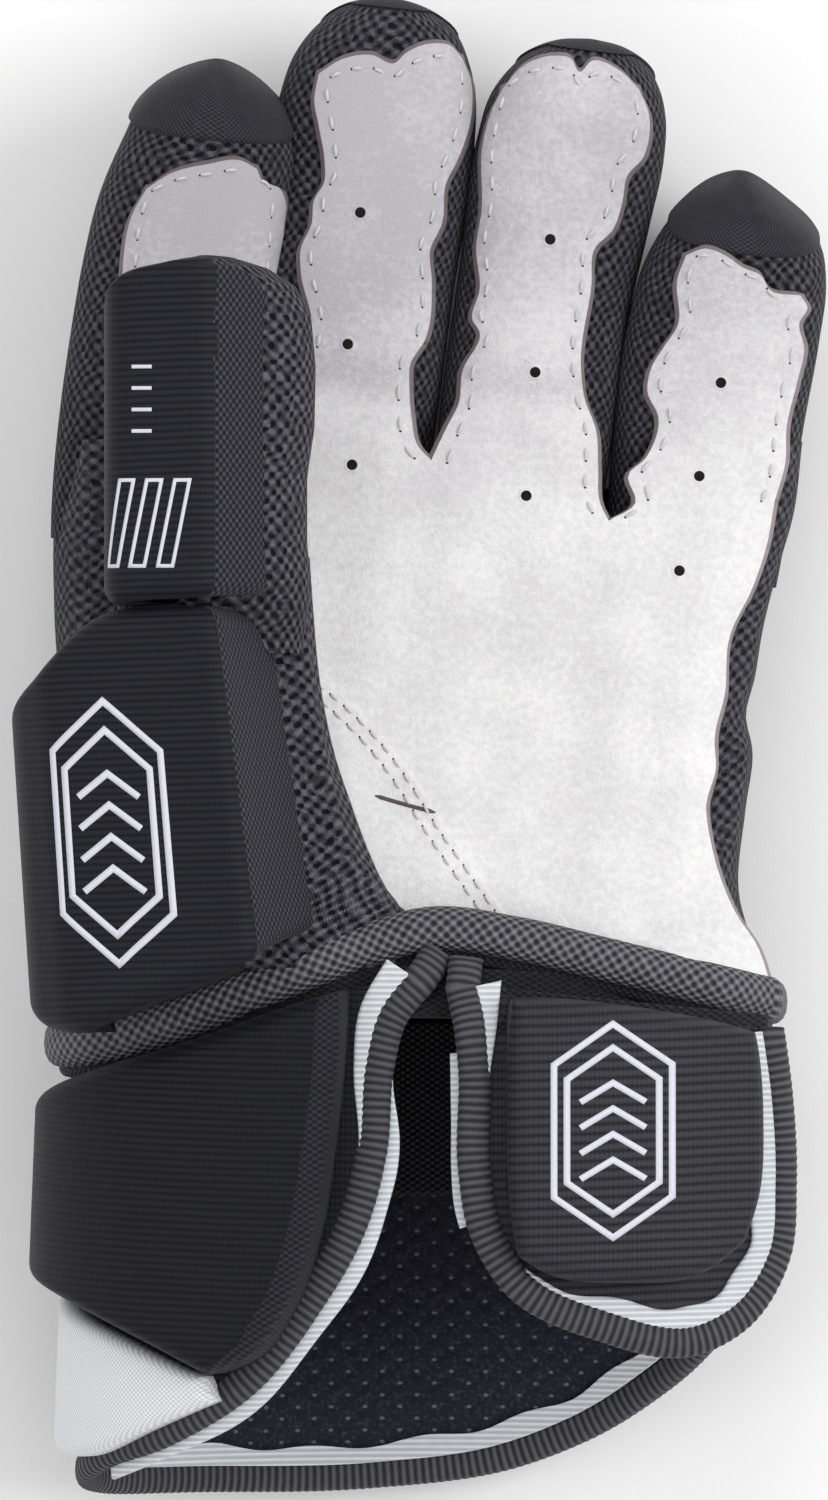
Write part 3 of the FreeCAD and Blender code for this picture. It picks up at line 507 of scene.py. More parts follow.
for finger in FINGERS.values():
    pitch = np.radians(finger["rise"]) * ease(-6, 6, FINGER_RUN)
    pitch += np.radians(finger["curl"]) * ease(finger["base"] - 8, finger["base"] + 8, FINGER_RUN)
    climb = np.cumsum(np.tan(pitch)) * (FINGER_RUN[1] - FINGER_RUN[0])
    finger["pitch"] = pitch
    finger["climb"] = climb - np.interp(0, FINGER_RUN, climb)
    lean = math.radians(finger["lean"])
    finger["sin"], finger["cos"] = math.sin(lean), math.cos(lean)
    end = (finger["tip"], (finger["left"][-1][1] + finger["right"][-1][1]) / 2)
    finger["left_line"] = flowing((*finger["left"], end), 240)
    finger["right_line"] = flowing((*finger["right"], end), 240)


def finger_point(name, s, a, n):
    """A place s along the finger from its knuckle, a across it and n above its axis."""
    f = FINGERS[name]
    s, a, n = np.broadcast_arrays(np.asarray(s, float), a, n)
    pitch = np.interp(s, FINGER_RUN, f["pitch"])
    run = s - n * np.sin(pitch)
    x = f["root"][0] + run * f["sin"] + a * f["cos"]
    y = f["root"][1] + run * f["cos"] - a * f["sin"]
    return np.stack((x, y, KNUCKLE_HEIGHT + np.interp(s, FINGER_RUN, f["climb"]) + n * np.cos(pitch)), -1)


def finger_section(name, s):
    """The middle, half width, upper and lower reach of a sleeve's section."""
    f = FINGERS[name]
    left, right = (np.interp(s, *f[side].T) for side in ("left_line", "right_line"))
    close = (1 - np.clip((s - f["tip"] + 15) / 15, 0, 1) ** 2.5) ** (1 / 2.5)
    top = TOP_REACH * close - 3.2 * (1 - ease(0, 14, s))
    return (left + right) / 2, (right - left) / 2, top, LOW_REACH * close


def squarer(wave, power):
    """A sine or cosine of a turn, pushed outward so that a ring made from it has squarer corners."""
    return np.sign(wave) * np.abs(wave) ** power


def sleeve_ring(name, s, turn, grow=0.0):
    """Points round the sleeve at s, grown outward."""
    middle, half, top, low = finger_section(name, s)
    a = middle + (half + grow) * squarer(np.cos(turn), 2 / SECTION_POWER)
    reach = np.where(np.sin(turn) > 0, top, low) + grow
    return finger_point(name, s, a, MID_HEIGHT + reach * squarer(np.sin(turn), 2 / SECTION_POWER))


def cloth_sheet(across, along):
    """The cloth places of a sheet, from its millimetres across and along."""
    return np.stack(np.broadcast_arrays(across, along), -1)


def closed_end(ring, cloth):
    """A flat sheet from a tube's last ring to the ring's middle, which closes the tube."""
    return np.stack((ring, np.broadcast_to(ring.mean(0), ring.shape))), np.stack((cloth, cloth)), 0


def mesh_finish(name, pitch_across, pitch_along, strand, hole):
    """Open knit with staggered holes between soft strands. The strands carry painted highlights and are
    painted darker towards the holes; the holes are painted near black: the dark layer beneath, deepened with
    painted shade.
    """
    made = finish(name, strand, 0.75, sheen=0.06, specular=0.12)
    u, v = along_cloth(made)
    wobble = maths(made, "MULTIPLY", blotches(made, 5.0), 7.0)
    loose = maths(made, "SUBTRACT", blotches(made, 1.1, 5.0), 0.5)
    waves = []
    for run, pitch in ((u, pitch_across), (v, pitch_along)):
        phase = maths(made, "ADD", maths(made, "MULTIPLY", run, 2 * math.pi / pitch), wobble)
        waves.append(maths(made, "COSINE", phase))
    net = maths(made, "MULTIPLY", *waves)
    open_share = between(made, maths(made, "ADD", net, maths(made, "MULTIPLY", loose, 2.8)), 0.15, 0.7)
    yarn = ripple(made, maths(made, "ADD", u, v), 0.55, "SINE")
    # Painted highlight and shade on the strands: lighter in random patches, darker towards the holes.
    painted_strand_shine = maths(made, "ADD", maths(made, "MULTIPLY", yarn, 0.14), maths(made, "MULTIPLY", net, -0.5))
    painted_strand_shine = maths(made, "ADD", painted_strand_shine, maths(made, "MULTIPLY", loose, 2.2))
    highlight_share = between(made, maths(made, "ADD", painted_strand_shine, 0.25), 0.0, 0.9)
    coloured_by(made, highlight_share, tuple(0.5 * value for value in strand), strand)
    coloured_by(made, open_share, None, hole)
    height = maths(made, "SUBTRACT", maths(made, "MULTIPLY", yarn, 0.12), maths(made, "MULTIPLY", net, 0.9))
    raised(made, height, 0.45)
    return made


air_mesh = mesh_finish("air_mesh_knit", 2.9, 2.3, (96, 94, 105), (9, 9, 12))
TURNS = np.linspace(-np.pi / 2, 1.5 * np.pi, 61)


def finger_bodies(name, part):
    """What a part of the finger's skin bends between, and where along the finger."""
    f = FINGERS[name]
    span = (1.5, 13.5) if part == "lower" else (f["base"] - 6, f["base"] + 7)
    pair = ("hand", name + "_base") if part == "lower" else (name + "_base", name + "_tip")
    return bending(*pair, *(finger_point(name, s, 0.0, 0.0) for s in span))


SPLIT = 17.0  # where the lower half meets the upper one, from the knuckle
SLEEVE_GIRTH = 106.0
for name, f in FINGERS.items():
    for part, start, end in (("lower", -13.0, SPLIT), ("upper", SPLIT, f["tip"] - 0.02)):
        closing = 1 - (1 - np.linspace(0, 1, 70)) ** 2 if part == "upper" else np.linspace(0, 1, 26)
        runs = start + (end - start) * closing
        rings = np.stack([sleeve_ring(name, s, TURNS) for s in runs])
        cloth = cloth_sheet(TURNS[None, :] / (2 * np.pi) * SLEEVE_GIRTH, runs[:, None])
        sheets = [(rings, cloth, 0)]
        if part == "upper":
            sheets.append(closed_end(rings[-1], cloth[-1]))
        made_piece = sew(f"{name}_{part}_sleeve", sheets, [air_mesh])
        gussets = f"{name}_base_gussets" if part == "lower" else f"{name}_tip_gussets"
        follow(made_piece, finger_bodies(name, part), [gussets])

# ---- Suede on the fingers ----
# The palm's hide runs on up each finger as a strip with a raw, wavy edge. It is sewn down with white thread
# a little way in from the edge, and three vent holes are punched along each of the last three fingers.
STRIPS = {  # left edge, top, right edge, in millimetres along and across the finger
    "index": (((3, -4.5), (10, -6.2), (17, -8), (30, -9.2), (42.5, -8.4), (46.4, -6.6)),
              ((46.4, -6.6), (49.2, -3), (51.4, 3), (52.6, 8.8), (51.6, 11.4)),
              ((1, 15.5), (20, 16.2), (36.4, 17), (43.2, 16.8), (47.2, 16.6), (49, 15.4), (49.4, 12.8),
               (51.6, 11.4))),
    "middle": (((3, -13), (10, -8), (17.9, -6.9), (26, -9.5), (30, -10), (34.5, -8.6), (38.5, -8.6),
                (41.6, -7.2), (45, -7.5), (50.8, -9.1), (55.1, -10.3), (59.5, -10)),
               ((59.5, -10), (62.2, -6.4), (63.4, -1.5), (62.4, 2.4), (64.2, 4), (66.4, 8), (66.5, 11.6),
                (64.8, 13.6)),
               ((-0.8, 13.1), (4.6, 11.3), (10.1, 10.4), (12.3, 10.2), (17.5, 12.4), (27.3, 12.4),
                (32.2, 11.6), (36.8, 13.1), (43.7, 13.1), (47.4, 14.5), (57.3, 16.1), (61.5, 15.4),
                (64.8, 13.6))),
    "ring": (((2.5, -13.5), (6.8, -12), (12, -12.1), (19.2, -10.1), (20.8, -11.4), (26.1, -10.9),
              (33.5, -12.4), (38.7, -12.2), (50.7, -13.4), (56.1, -12.6), (60, -11.2)),
             ((60, -11.2), (64.2, -8.2), (66.3, -3.4), (66.2, -0.6), (63.9, 1.2), (66.2, 3), (65.2, 7.7),
              (62.5, 11.4)),
             ((-6.9, 13.5), (-1.2, 12.5), (5.1, 11.4), (10.5, 8.7), (15.6, 7.5), (29, 7.6), (35.3, 7.4),
              (38.5, 9.9), (43.3, 11), (48, 11.3), (51.2, 13.5), (54.5, 14.1), (58.5, 13.6), (62.5, 11.4))),
    "little": (((-2.1, -12.4), (2.3, -14.2), (5.6, -11.6), (12.7, -10.4), (16.5, -12.7), (20.6, -12.6),
                (24.3, -11), (28, -9.2), (36, -10.2), (39.8, -9.3)),
               ((39.8, -9.3), (41.2, -6.4), (40.6, -3.2), (38.8, 0.5), (38, 3.4), (35.8, 5.4), (35.6, 10.6)),
               ((8, 11.7), (13.7, 11.2), (21.4, 12), (27.2, 12.4), (31.1, 11), (33.9, 12),
                (35.6, 10.6))),
}
VENTS = {
    "middle": ((-9, 90), (-11.1, 68), (-10.4, 47.8)),
    "ring": ((22.8, 85.5), (20.3, 63.3), (18.8, 42.6)),
    "little": ((51.4, 61.5), (47.8, 45.9), (44.4, 30)),
}


def plan(name, spots):
    """Places along and across a finger, as places on the bench."""
    f = FINGERS[name]
    s, a = np.asarray(spots, float).T
    x = f["root"][0] + s * f["sin"] + a * f["cos"]
    return np.stack((x, f["root"][1] + s * f["cos"] - a * f["sin"]), -1)


def along_and_across(name, x, y):
    """Places on the bench, as millimetres along and across a finger."""
    f = FINGERS[name]
    dx, dy = x - f["root"][0], y - f["root"][1]
    return dx * f["sin"] + dy * f["cos"], dx * f["cos"] - dy * f["sin"]


def on_finger(name):
    """Lays suede on a finger's sleeve, and on the palm before it."""

    def wrap(x, y, height):
        f = FINGERS[name]
        x, y, height = np.broadcast_arrays(x, y, height)
        s, a = along_and_across(name, x, y)
        middle, half, top, _ = finger_section(name, s)
        q = np.clip(np.abs(a - middle) / np.maximum(half, 1e-6), 0, 0.985)
        level = MID_HEIGHT + top * (1 - q**SECTION_POWER) ** (1 / SECTION_POWER)
        pitch = np.interp(s, FINGER_RUN, f["pitch"])
        on_sleeve = KNUCKLE_HEIGHT + np.interp(s, FINGER_RUN, f["climb"]) + (level + 0.35) / np.cos(pitch)
        share = ease(3, 15, s)
        return np.stack((x, y, (1 - share) * palm_height(x, y) + share * on_sleeve + height), -1)

    return wrap


for name, (left, top, right) in STRIPS.items():
    bottom = root_lines[name]
    left_line = flowing(np.concatenate((bottom[:1], plan(name, left))), 200)
    right_line = flowing(np.concatenate((bottom[-1:], plan(name, right))), 200)
    whole = patch(bottom, evenly(flowing(plan(name, top), 120), ROOT_COLUMNS * 3), left_line, right_line)
    cut = 0.5 if name == "little" else 0.3
    wrap = on_finger(name)
    halves = (("lower", "base", 0.0, cut, ("low", "high"), ROOT_COLUMNS, 24),
              ("upper", "tip", cut, 1.0, ("low",), 49, 70))
    for part, node_part, first, last, plain, across, along in halves:
        place = lambda p, q, first=first, last=last: whole(p, first + (last - first) * q)
        body = finger_bodies(name, part)
        made_piece = slab(f"{name}_{part}_suede", place, wrap, SUEDE, [finger_suede, raw_edge], across, along,
                          flare=0.75, plain=plain, wall=1)
        follow(made_piece, body, [f"{name}_{node_part}_suede"])
        q = np.linspace(0.02, 0.97 if part == "upper" else 1.0, 80)
        sheets = []
        for edge_side in (0.085, 0.915):
            sheets += stitches(place(np.full(80, edge_side), q), wrap, SUEDE, 3.0, 1.4, 0.3)
        if part == "upper":
            end_seam = place(np.linspace(0.1, 0.9, 80), np.full(80, 0.955))
            sheets += stitches(end_seam, wrap, SUEDE, 2.4, 1.3, 0.3)
        follow(sew(f"{name}_{part}_stitches", sheets, [thread, painted_hole_shade]), body)


def vent_sheets(spots, wrap):
    """Punched vent holes: a soft lip of hide round a dark disc of painted shade that stands for the opening.
    """
    sheets = []
    turn = np.linspace(0, 2 * np.pi, 25)
    for x, y in spots:
        rows = [wrap(x + r * np.cos(turn), y + r * np.sin(turn), SUEDE + h) for r, h in
                ((1.45, -0.02), (1.15, 0.13), (0.9, 0.1), (0.82, 0.02), (0.78, 0.02), (0.0, 0.02))]
        rows = np.stack(rows)
        number = np.array((0, 0, 1, 1, 1))[:, None]
        sheets.append((rows, rows[..., :2], number))
    return sheets


for name, spots in VENTS.items():
    groups = {"upper": [], "lower": [], "palm": []}
    for spot in spots:
        s, _ = along_and_across(name, *spot)
        groups["upper" if s > 22 else "lower" if s > 2 else "palm"].append(spot)
    for part, members in groups.items():
        if not members:
            continue
        body = "hand" if part == "palm" else finger_bodies(name, part)
        wrap = on_palm if part == "palm" else on_finger(name)
        vent = sew(f"{name}_{part}_vents", vent_sheets(members, wrap), [finger_suede, painted_hole_shade])
        follow(vent, body)

# ---- Fingertip caps ----
# A cap of close woven cloth is sewn over the end of each sleeve, with its edge folded in. On the index
# and little fingers it comes round to the front; on the other two it stays on the back.
def weave_finish(name, pitch_across, pitch_along, low, high, depth=0.25, rough=0.6):
    """Close basket weave: threads pass over and under in turn, painted lighter where they come up and darker
    where they go under, as light and shade, with random blotches.
    """
    made = finish(name, high, rough, sheen=0.06, specular=0.16)
    u, v = along_cloth(made)
    across, up = ripple(made, u, pitch_across, "SINE"), ripple(made, v, pitch_along, "SINE")
    weave = maths(made, "MULTIPLY", across, up)
    coloured_by(made, between(made, maths(made, "ADD", weave, blotches(made, 2.0)), -0.5, 1.6), low, high)
    raised(made, weave, depth)
    return made


cap_cloth = weave_finish("cap_cloth", 0.9, 0.9, (30, 30, 35), (62, 62, 70), 0.12)
CAPS = {"index": (57, -0.06), "middle": (67, 0.62), "ring": (63, 0.62), "little": (43.4, -0.1)}
for name, (start, slant) in CAPS.items():
    f = FINGERS[name]
    share = 1 - (1 - np.linspace(0, 1, 40)) ** 2
    level = np.where(np.sin(TURNS) > 0, TOP_REACH, LOW_REACH) * np.sin(TURNS)
    begin = np.clip(start + slant * (level + (6 if slant > 0.5 else 0)), start - 12, f["tip"] - 1.5)
    rows = []
    for k, t in enumerate(share):
        run = begin + (f["tip"] - 0.02 - begin) * t
        grow = 0.75 if k else 0.0
        rows.append(np.stack([sleeve_ring(name, s, np.array(turn), grow) for s, turn in zip(run, TURNS)]))
    rows.insert(0, rows[0] - (rows[1] - rows[0]) * 0.01)
    rows = np.stack(rows)
    cloth = cloth_sheet(TURNS[None] * 16.5, np.linspace(0, 24, len(rows))[:, None])
    sheets = [(rows, cloth, 0), closed_end(rows[-1], cloth[-1])]
    follow(sew(name + "_woven_cap", sheets, [cap_cloth]), name + "_tip", [name + "_cap"])

# ---- Finger pads ----
# Two foam pads sit on the back of each finger, covered in ribbed nylon. The gap between them lets the
# finger bend.
def ribbed_finish(name, low, high, pitch=1.15, slope=0.035, depth=0.12, rough=0.55):
    """Satin nylon with fine raised ribs across the pad, painted lighter on the rib tops and darker in the
    grooves as light and shade.
    """
    made = finish(name, high, rough, sheen=0.03, specular=0.16)
    u, v = along_cloth(made)
    run = maths(made, "ADD", v, maths(made, "MULTIPLY", u, -slope))
    run = maths(made, "ADD", run, maths(made, "MULTIPLY", blotches(made, 9.0), 0.35))
    rib = maths(made, "ABSOLUTE", ripple(made, run, 2 * pitch))
    dot = maths(made, "MULTIPLY", ripple(made, u, 0.7, "SINE"), 0.12)
    share = maths(made, "ADD", maths(made, "MULTIPLY", rib, 0.85), dot)
    coloured_by(made, between(made, share, 0.05, 1.0), low, high)
    raised(made, maths(made, "ADD", rib, dot), depth)
    return made


def knit_finish(name, low, high, pitch=1.1, depth=0.1):
    """Fine knit with a grain of staggered dots, painted lighter on their tops and darker between them as
    light and shade.
    """
    made = finish(name, high, 0.7, sheen=0.05, specular=0.15)
    u, v = along_cloth(made)
    dots = maths(made, "MULTIPLY", ripple(made, u, pitch), ripple(made, v, pitch))
    coloured_by(made, between(made, dots, -0.5, 0.7), low, high)
    raised(made, dots, depth)
    return made


pad_cloth = ribbed_finish("pad_ribbed_nylon", (13, 13, 18), (33, 33, 43))
cuff_cloth = ribbed_finish("cuff_ribbed_nylon", (9, 10, 14), (26, 27, 36))
flap_cloth = ribbed_finish("flap_ribbed_nylon", (28, 28, 33), (56, 55, 62), pitch=1.5)
facet_knit = knit_finish("pad_side_knit", (19, 18, 24), (68, 66, 76), pitch=1.5, depth=0.15)

FINGER_PAD = 11.6
PAD_SEAT = 15.6  # how far under the finger's axis the foam begins
for name, f in FINGERS.items():
    for part, start, end in (("base", 1.2, f["base"] - 2.4), ("tip", f["base"] + 2.6, f["tip"] - 9.5)):
        run = np.linspace(start, end, 12)
        middle, half, _, _ = finger_section(name, run)
        left, right = (np.stack((middle + side * (half - 2.4), run), -1) for side in (-1, 1))
        lines = np.linspace(left[0], right[0], 12), np.linspace(left[-1], right[-1], 12), left, right
        wrap = lambda a, s, h, name=name: finger_point(name, s, a, -PAD_SEAT - h)
        made_piece = slab(f"{name}_{part}_foam_pad", patch(*lines), wrap, FINGER_PAD, [pad_cloth], 28, 28,
                          edge=3.4, soft=0.13, crown=0.4)
        follow(made_piece, f"{name}_{part}", [f"{name}_{part}_pad"])

# ---- Back of the hand ----
# Three foam rolls lie across the back of the hand under ribbed nylon. A layer of mesh and lining joins them
# and closes the back.
lining_knit = finish("lining_knit", (34, 35, 44), 0.85, sheen=0.06, specular=0.15)
lining_u, lining_v = along_cloth(lining_knit)
lining_dots = maths(lining_knit, "MULTIPLY", ripple(lining_knit, lining_u, 5.0),
                    ripple(lining_knit, lining_v, 4.0))
lining_grain = blotches(lining_knit, 0.7, 5.0)
lining_share = maths(lining_knit, "MULTIPLY", between(lining_knit, lining_dots, 0.84, 0.97), 0.36)
lining_fleck = maths(lining_knit, "MULTIPLY", between(lining_knit, lining_grain, 0.45, 0.95), 0.2)
coloured_by(lining_knit, maths(lining_knit, "ADD", lining_share, lining_fleck), (35, 36, 47), (156, 158, 170))
raised(lining_knit, maths(lining_knit, "SUBTRACT", lining_grain, lining_dots), 0.2)

ROLLS = {  # rear left, rear right, front right, front left
    "knuckle_roll": ((-57, 14.6), (57.5, 14.6), (60, 41.5), (-57, 43)),
    "middle_roll": ((-54, -13.9), (54, -13.9), (56, 12.9), (-56, 12.9)),
    "lower_roll": ((-51, -42.4), (51, -42.4), (52, -15.6), (-53, -15.6)),
}


BACK_HEIGHT = 14.0
ROLL_FOAM = 12.6


def under_hand(x, y, height):
    """A place under the hand, height millimetres below the roots of its rolls."""
    return np.stack(np.broadcast_arrays(x, y, BACK_HEIGHT - height), -1)


def between_corners(rear_left, rear_right, front_left, front_right, count, scale=(1, 1)):
    """A patch with straight sides between four corners."""
    low, high = (rear_left, rear_right), (front_left, front_right)
    sides = (low, high, (rear_left, front_left), (rear_right, front_right))
    return patch(*(np.linspace(a, b, count) * scale for a, b in sides))


for name, (a, b, c, d) in ROLLS.items():
    made_piece = slab(name + "_foam", between_corners(a, b, d, c, 20), under_hand, ROLL_FOAM, [pad_cloth], 60,
                      34, edge=7.0, soft=0.05, crown=1.2)
    follow(made_piece, "hand", [name])

back_left, back_right = ((-53, -42), (-55, 10), (-57.5, 46)), ((52, -42), (55, 10), (60, 44))
back_ends = [np.linspace(back_left[k], back_right[k], 20) for k in (0, -1)]
back_sheet = patch(*back_ends, flowing(back_left, 30), flowing(back_right, 30))
made_piece = slab("hand_back_lining", back_sheet, lambda x, y, h: under_hand(x, y, h - 2.4), 2.3,
                  [lining_knit, air_mesh], 50, 50, wall=1)
follow(made_piece, "hand", ["hand_liner"])


# ---- Sides of the hand ----
# Air mesh closes both edges of the hand, from the palm's hide round to the back. On the little-finger side
# it bulges past the hide, and on the thumb side it goes under the thumb.
def shell(name, outer, cloth, thick, finishes):
    """A cloth wall: the outer sheet of points, and a lining sheet inside it."""
    normal = np.cross(np.gradient(outer, axis=1), np.gradient(outer, axis=0))
    normal /= np.maximum(np.linalg.norm(normal, axis=2, keepdims=True), 1e-9)
    inner = outer - normal * thick
    rims = [(outer[0], inner[0], cloth[0]), (outer[-1], inner[-1], cloth[-1]),
            (outer[:, 0], inner[:, 0], cloth[:, 0]), (outer[:, -1], inner[:, -1], cloth[:, -1])]
    sheets = [(outer, cloth, 0), (inner, cloth, 0)]
    sheets += [(np.stack((a, b)), np.stack((c, c)), 0) for a, b, c in rims]
    return sew(name, sheets, finishes)


def loft(sections, along=60, around=36):
    """A smooth sheet through section lines of points, with its cloth places in millimetres."""
    lines = np.stack([flowing(section, around) for section in sections])
    sheet = np.stack([flowing(lines[:, k], along) for k in range(around)], 1)
    across = np.cumsum(np.linalg.norm(np.diff(sheet, axis=1, prepend=sheet[:, :1]), axis=2), 1)
    up = np.cumsum(np.linalg.norm(np.diff(sheet, axis=0, prepend=sheet[:1]), axis=2), 0)
    return sheet, np.stack((across, up.mean(1, keepdims=True) + 0 * up), -1)


LITTLE_SIDE = (  # y, the hide's edge, the outermost mesh
    (-43, 57.5, 58.5), (-36, 57, 57.5), (-24, 50.5, 54), (-10, 47.5, 55.2), (0, 49, 56.6), (6, 50.2, 55.6),
    (12, 51, 57.2), (20, 52, 58.6), (30, 56, 61.2), (40, 59, 64), (52, 60, 65.5),
)
sections = []
for y, hide, outer_x in LITTLE_SIDE:
    level = float(palm_height(hide, y))
    sections.append(((hide - 3, y, level - 0.4), (hide + 1, y, level - 0.5),
                     (outer_x - 1.6, y, level - 3.2), (outer_x, y, level - 9),
                     (outer_x - 0.6, y, 22), (outer_x - 3.5, y, 13.5)))
sheet, cloth = loft(sections)
follow(shell("little_side_mesh", sheet, cloth, 1.4, [air_mesh]), "hand", ["side_gusset_little"])
THUMB_SIDE = (  # y, how far out the mesh goes, and how much higher or lower its upper edge is
    (-43, 53.5, 0), (-20, 54.5, 0), (5, 56, -2), (25, 57.4, -5), (40, 57, -7), (52, 53.5, -8),
)
sections = []
for y, out, lift in THUMB_SIDE:
    sections.append(((-46, y, 47 + lift), (-54, y, 45 + lift), (-out - 1, y, 38 + lift),
                     (-out - 2, y, 28), (-out, y, 20), (-out + 3, y, 13.5)))
sheet, cloth = loft(sections)
follow(shell("thumb_side_mesh", sheet, cloth, 1.4, [air_mesh]), "hand", ["side_gusset_thumb"])

# ---- Thumb guard ----
# The guard is two foam pads, folded over a ridge above the thumb. The broad side carries ribbed nylon and
# the slope inside the ridge a finer knit, with a crease between base and tip.
def toward(here, other, reach):
    """A place that far on the way to another corner, but never half of the way."""
    length = np.linalg.norm(other - here)
    return here + (other - here) / length * min(reach, length * 0.45)


def folded(section, ridge, thick, turn_y, shear):
    """Lays a pad on a folded outer skin, given as x and z, with 0 at the ridge."""
    corners = np.asarray(section, float)
    rounded = [corners[0]]
    for k in range(1, len(corners) - 1):
        here = corners[k]
        reach = 3.2 if k == ridge else 3.8
        a, b = toward(here, corners[k - 1], reach), toward(here, corners[k + 1], reach)
        t = np.linspace(0, 1, 9)[:, None]
        rounded += list((1 - t) ** 2 * a + 2 * t * (1 - t) * here + t * t * b)
    rounded.append(corners[-1])
    line = evenly(rounded, 400)
    run = np.concatenate(([0], np.cumsum(np.linalg.norm(np.diff(line, axis=0), axis=1))))
    run -= run[np.argmin(np.linalg.norm(line - corners[ridge], axis=1))]
    ahead = np.gradient(line, run, axis=0)
    kernel = np.ones(9) / 9
    sides = [np.convolve(np.pad(c, 4, mode="edge"), kernel, "valid") for c in (ahead[:, 1], -ahead[:, 0])]
    normal = np.stack(sides, -1)
    normal /= np.linalg.norm(normal, axis=1, keepdims=True)

    def wrap(u, v, height):
        u, v, height = np.broadcast_arrays(u, v, height)
        x, z, nx, nz = (np.interp(-u, run, c) for c in (line[:, 0], line[:, 1], normal[:, 0], normal[:, 1]))
        x = x + shear * (v - turn_y) * np.clip((x + 70) / 45, 0.5, 1.1)
        return np.stack((x - nx * (thick - height), v, z - nz * (thick - height)), -1)

    return wrap


BASE_SKIN = ((-17.8, 53), (-20, 61), (-29.6, 82.3), (-59, 76.5), (-65.6, 68), (-66.4, 50))
TIP_SKIN = ((-22.8, 66), (-24, 74), (-33.2, 84), (-47.4, 83), (-50.6, 79.5), (-50.9, 71.5))
GUARD = 12.0
TIP_GUARD = 11.0
KNIT_STARTS = 1.2  # past the ridge, where the ribbed nylon meets the knit
base_wrap = folded(BASE_SKIN, 2, GUARD, -4, -0.13)
tip_wrap = folded(TIP_SKIN, 2, TIP_GUARD, 50, 0.0)


def past_ridge(u, _):
    """Which cloth covers a place on the guard: 0 the ribbed nylon, 1 the knit."""
    return (u > KNIT_STARTS).astype(int)


base_area = patch(
    flowing(((-58, -40), (-48, -43.5), (-32, -46.5), (-14, -40.5), (0, -35), (16, -31.5), (31, -30)), 90),
    flowing(((-58, 4), (-45, 7.5), (-37, 11), (-30, 15.5), (-21, 21.8), (0, 23.6), (16, 23.2),
             (31, 22.8)), 90),
    np.linspace((-58, -40), (-58, 4), 30), np.linspace((31, -30), (31, 22.8), 30))
base_guard = slab("thumb_base_foam", base_area, base_wrap, GUARD, [pad_cloth, facet_knit], 110, 60, edge=3.4,
                  soft=0.02, zone=past_ridge)
follow(base_guard, "thumb_base", ["thumb_base_guard"])
tip_area = patch(
    flowing(((-26, 23.6), (-10, 24.6), (6, 25.2), (21, 25.4)), 60),
    flowing(((-6, 80), (0, 80.7), (6, 79.4)), 60),
    flowing(((-26, 23.6), (-26, 40), (-26.4, 58), (-26, 70.5), (-17, 77.2), (-6, 80)), 70),
    flowing(((21, 25.4), (21, 45), (21, 61), (19, 70), (13.5, 76.4), (6, 79.4)), 70))
tip_guard = slab("thumb_tip_foam", tip_area, tip_wrap, TIP_GUARD, [pad_cloth, facet_knit], 80, 80, edge=3.0,
                 zone=past_ridge)
follow(tip_guard, "thumb_tip", ["thumb_tip_guard"])

# ---- Thumb sleeve ----
# Under the guard the thumb has a mesh sleeve that closes past its tip, and a mesh gusset joins the thumb's
# base to the palm. They stand out beyond the guard on the palm side.
THUMB_EDGE = ((10, -16), (24, -16.6), (34, -17.6), (45, -17.6), (53, -16.4), (63, -16.2), (72, -17.0),
              (76.5, -19.6), (79.3, -24), (81.2, -30), (81.6, -34))
coarse_mesh = mesh_finish("thumb_mesh_knit", 3.0, 2.5, (108, 106, 118), (9, 9, 12))
rings = []
for y in np.concatenate((np.linspace(16, 66, 36), 81.5 - 15.5 * (1 - np.linspace(0.05, 1, 24)) ** 2)):
    dive = ease(30, 16, y)
    right = np.interp(y, *zip(*THUMB_EDGE)) - 2 * dive
    left = -49 + 1.5 * ease(35, 66, y) + 12 * ease(64, 82, y) ** 2
    close = max(1 - max(0, (y - 66) / 15.6) ** 2.5, 0.0) ** (1 / 2.5)
    middle, half = (left + right) / 2, (right - left) / 2
    x = middle + half * squarer(np.cos(TURNS), 0.8)
    level = 65.5 - 5.5 * dive + (9.3 - 4.3 * dive) * close * squarer(np.sin(TURNS), 0.8)
    rings.append(np.stack(np.broadcast_arrays(x, y, level), -1))
rings = np.stack(rings)
cloth = cloth_sheet(TURNS[None] * 15.5, rings[:, :1, 1])
made_piece = sew("thumb_mesh_sleeve", [(rings, cloth, 0), closed_end(rings[-1], cloth[-1])], [coarse_mesh])
thumb_joint = bending("thumb_base", "thumb_tip", (-38, 16, 59), (-38, 28, 59))
follow(made_piece, thumb_joint, ["thumb_tip_gussets", "thumb_cap"])

PALM_SIDE = ((32, -17.4), (24, -16.8), (12, -15.7), (0, -13.4), (-9, -10.6), (-18, -7.4), (-24, -4.2),
             (-30, 0.5), (-36, 3))
sections = []
for y, edge_x in PALM_SIDE:
    guard_x = -17.6 - 0.13 * (y + 4)
    level = float(palm_height(edge_x - 2.0, y))
    under_guard = guard_x - 6 - 10 * float(ease(-20, -30, y))
    sections.append(((under_guard, y, 63), (guard_x - 0.8, y, 60.5),
                     ((guard_x + edge_x) / 2 + 0.8, y, 58.8), (edge_x - 0.9, y, 55.6), (edge_x, y, 51.5),
                     (edge_x - 1.2, y, level + 1.2), (edge_x - 3.5, y, level - 2.5)))
sheet, cloth = loft(sections[::-1])
thumb_root = bending("hand", "thumb_base", (-20, 0, 48), (-20, 0, 58))
made_piece = shell("thumb_palm_mesh", sheet, cloth, 1.3, [coarse_mesh])
follow(made_piece, thumb_root, ["thumb_base_gusset"])

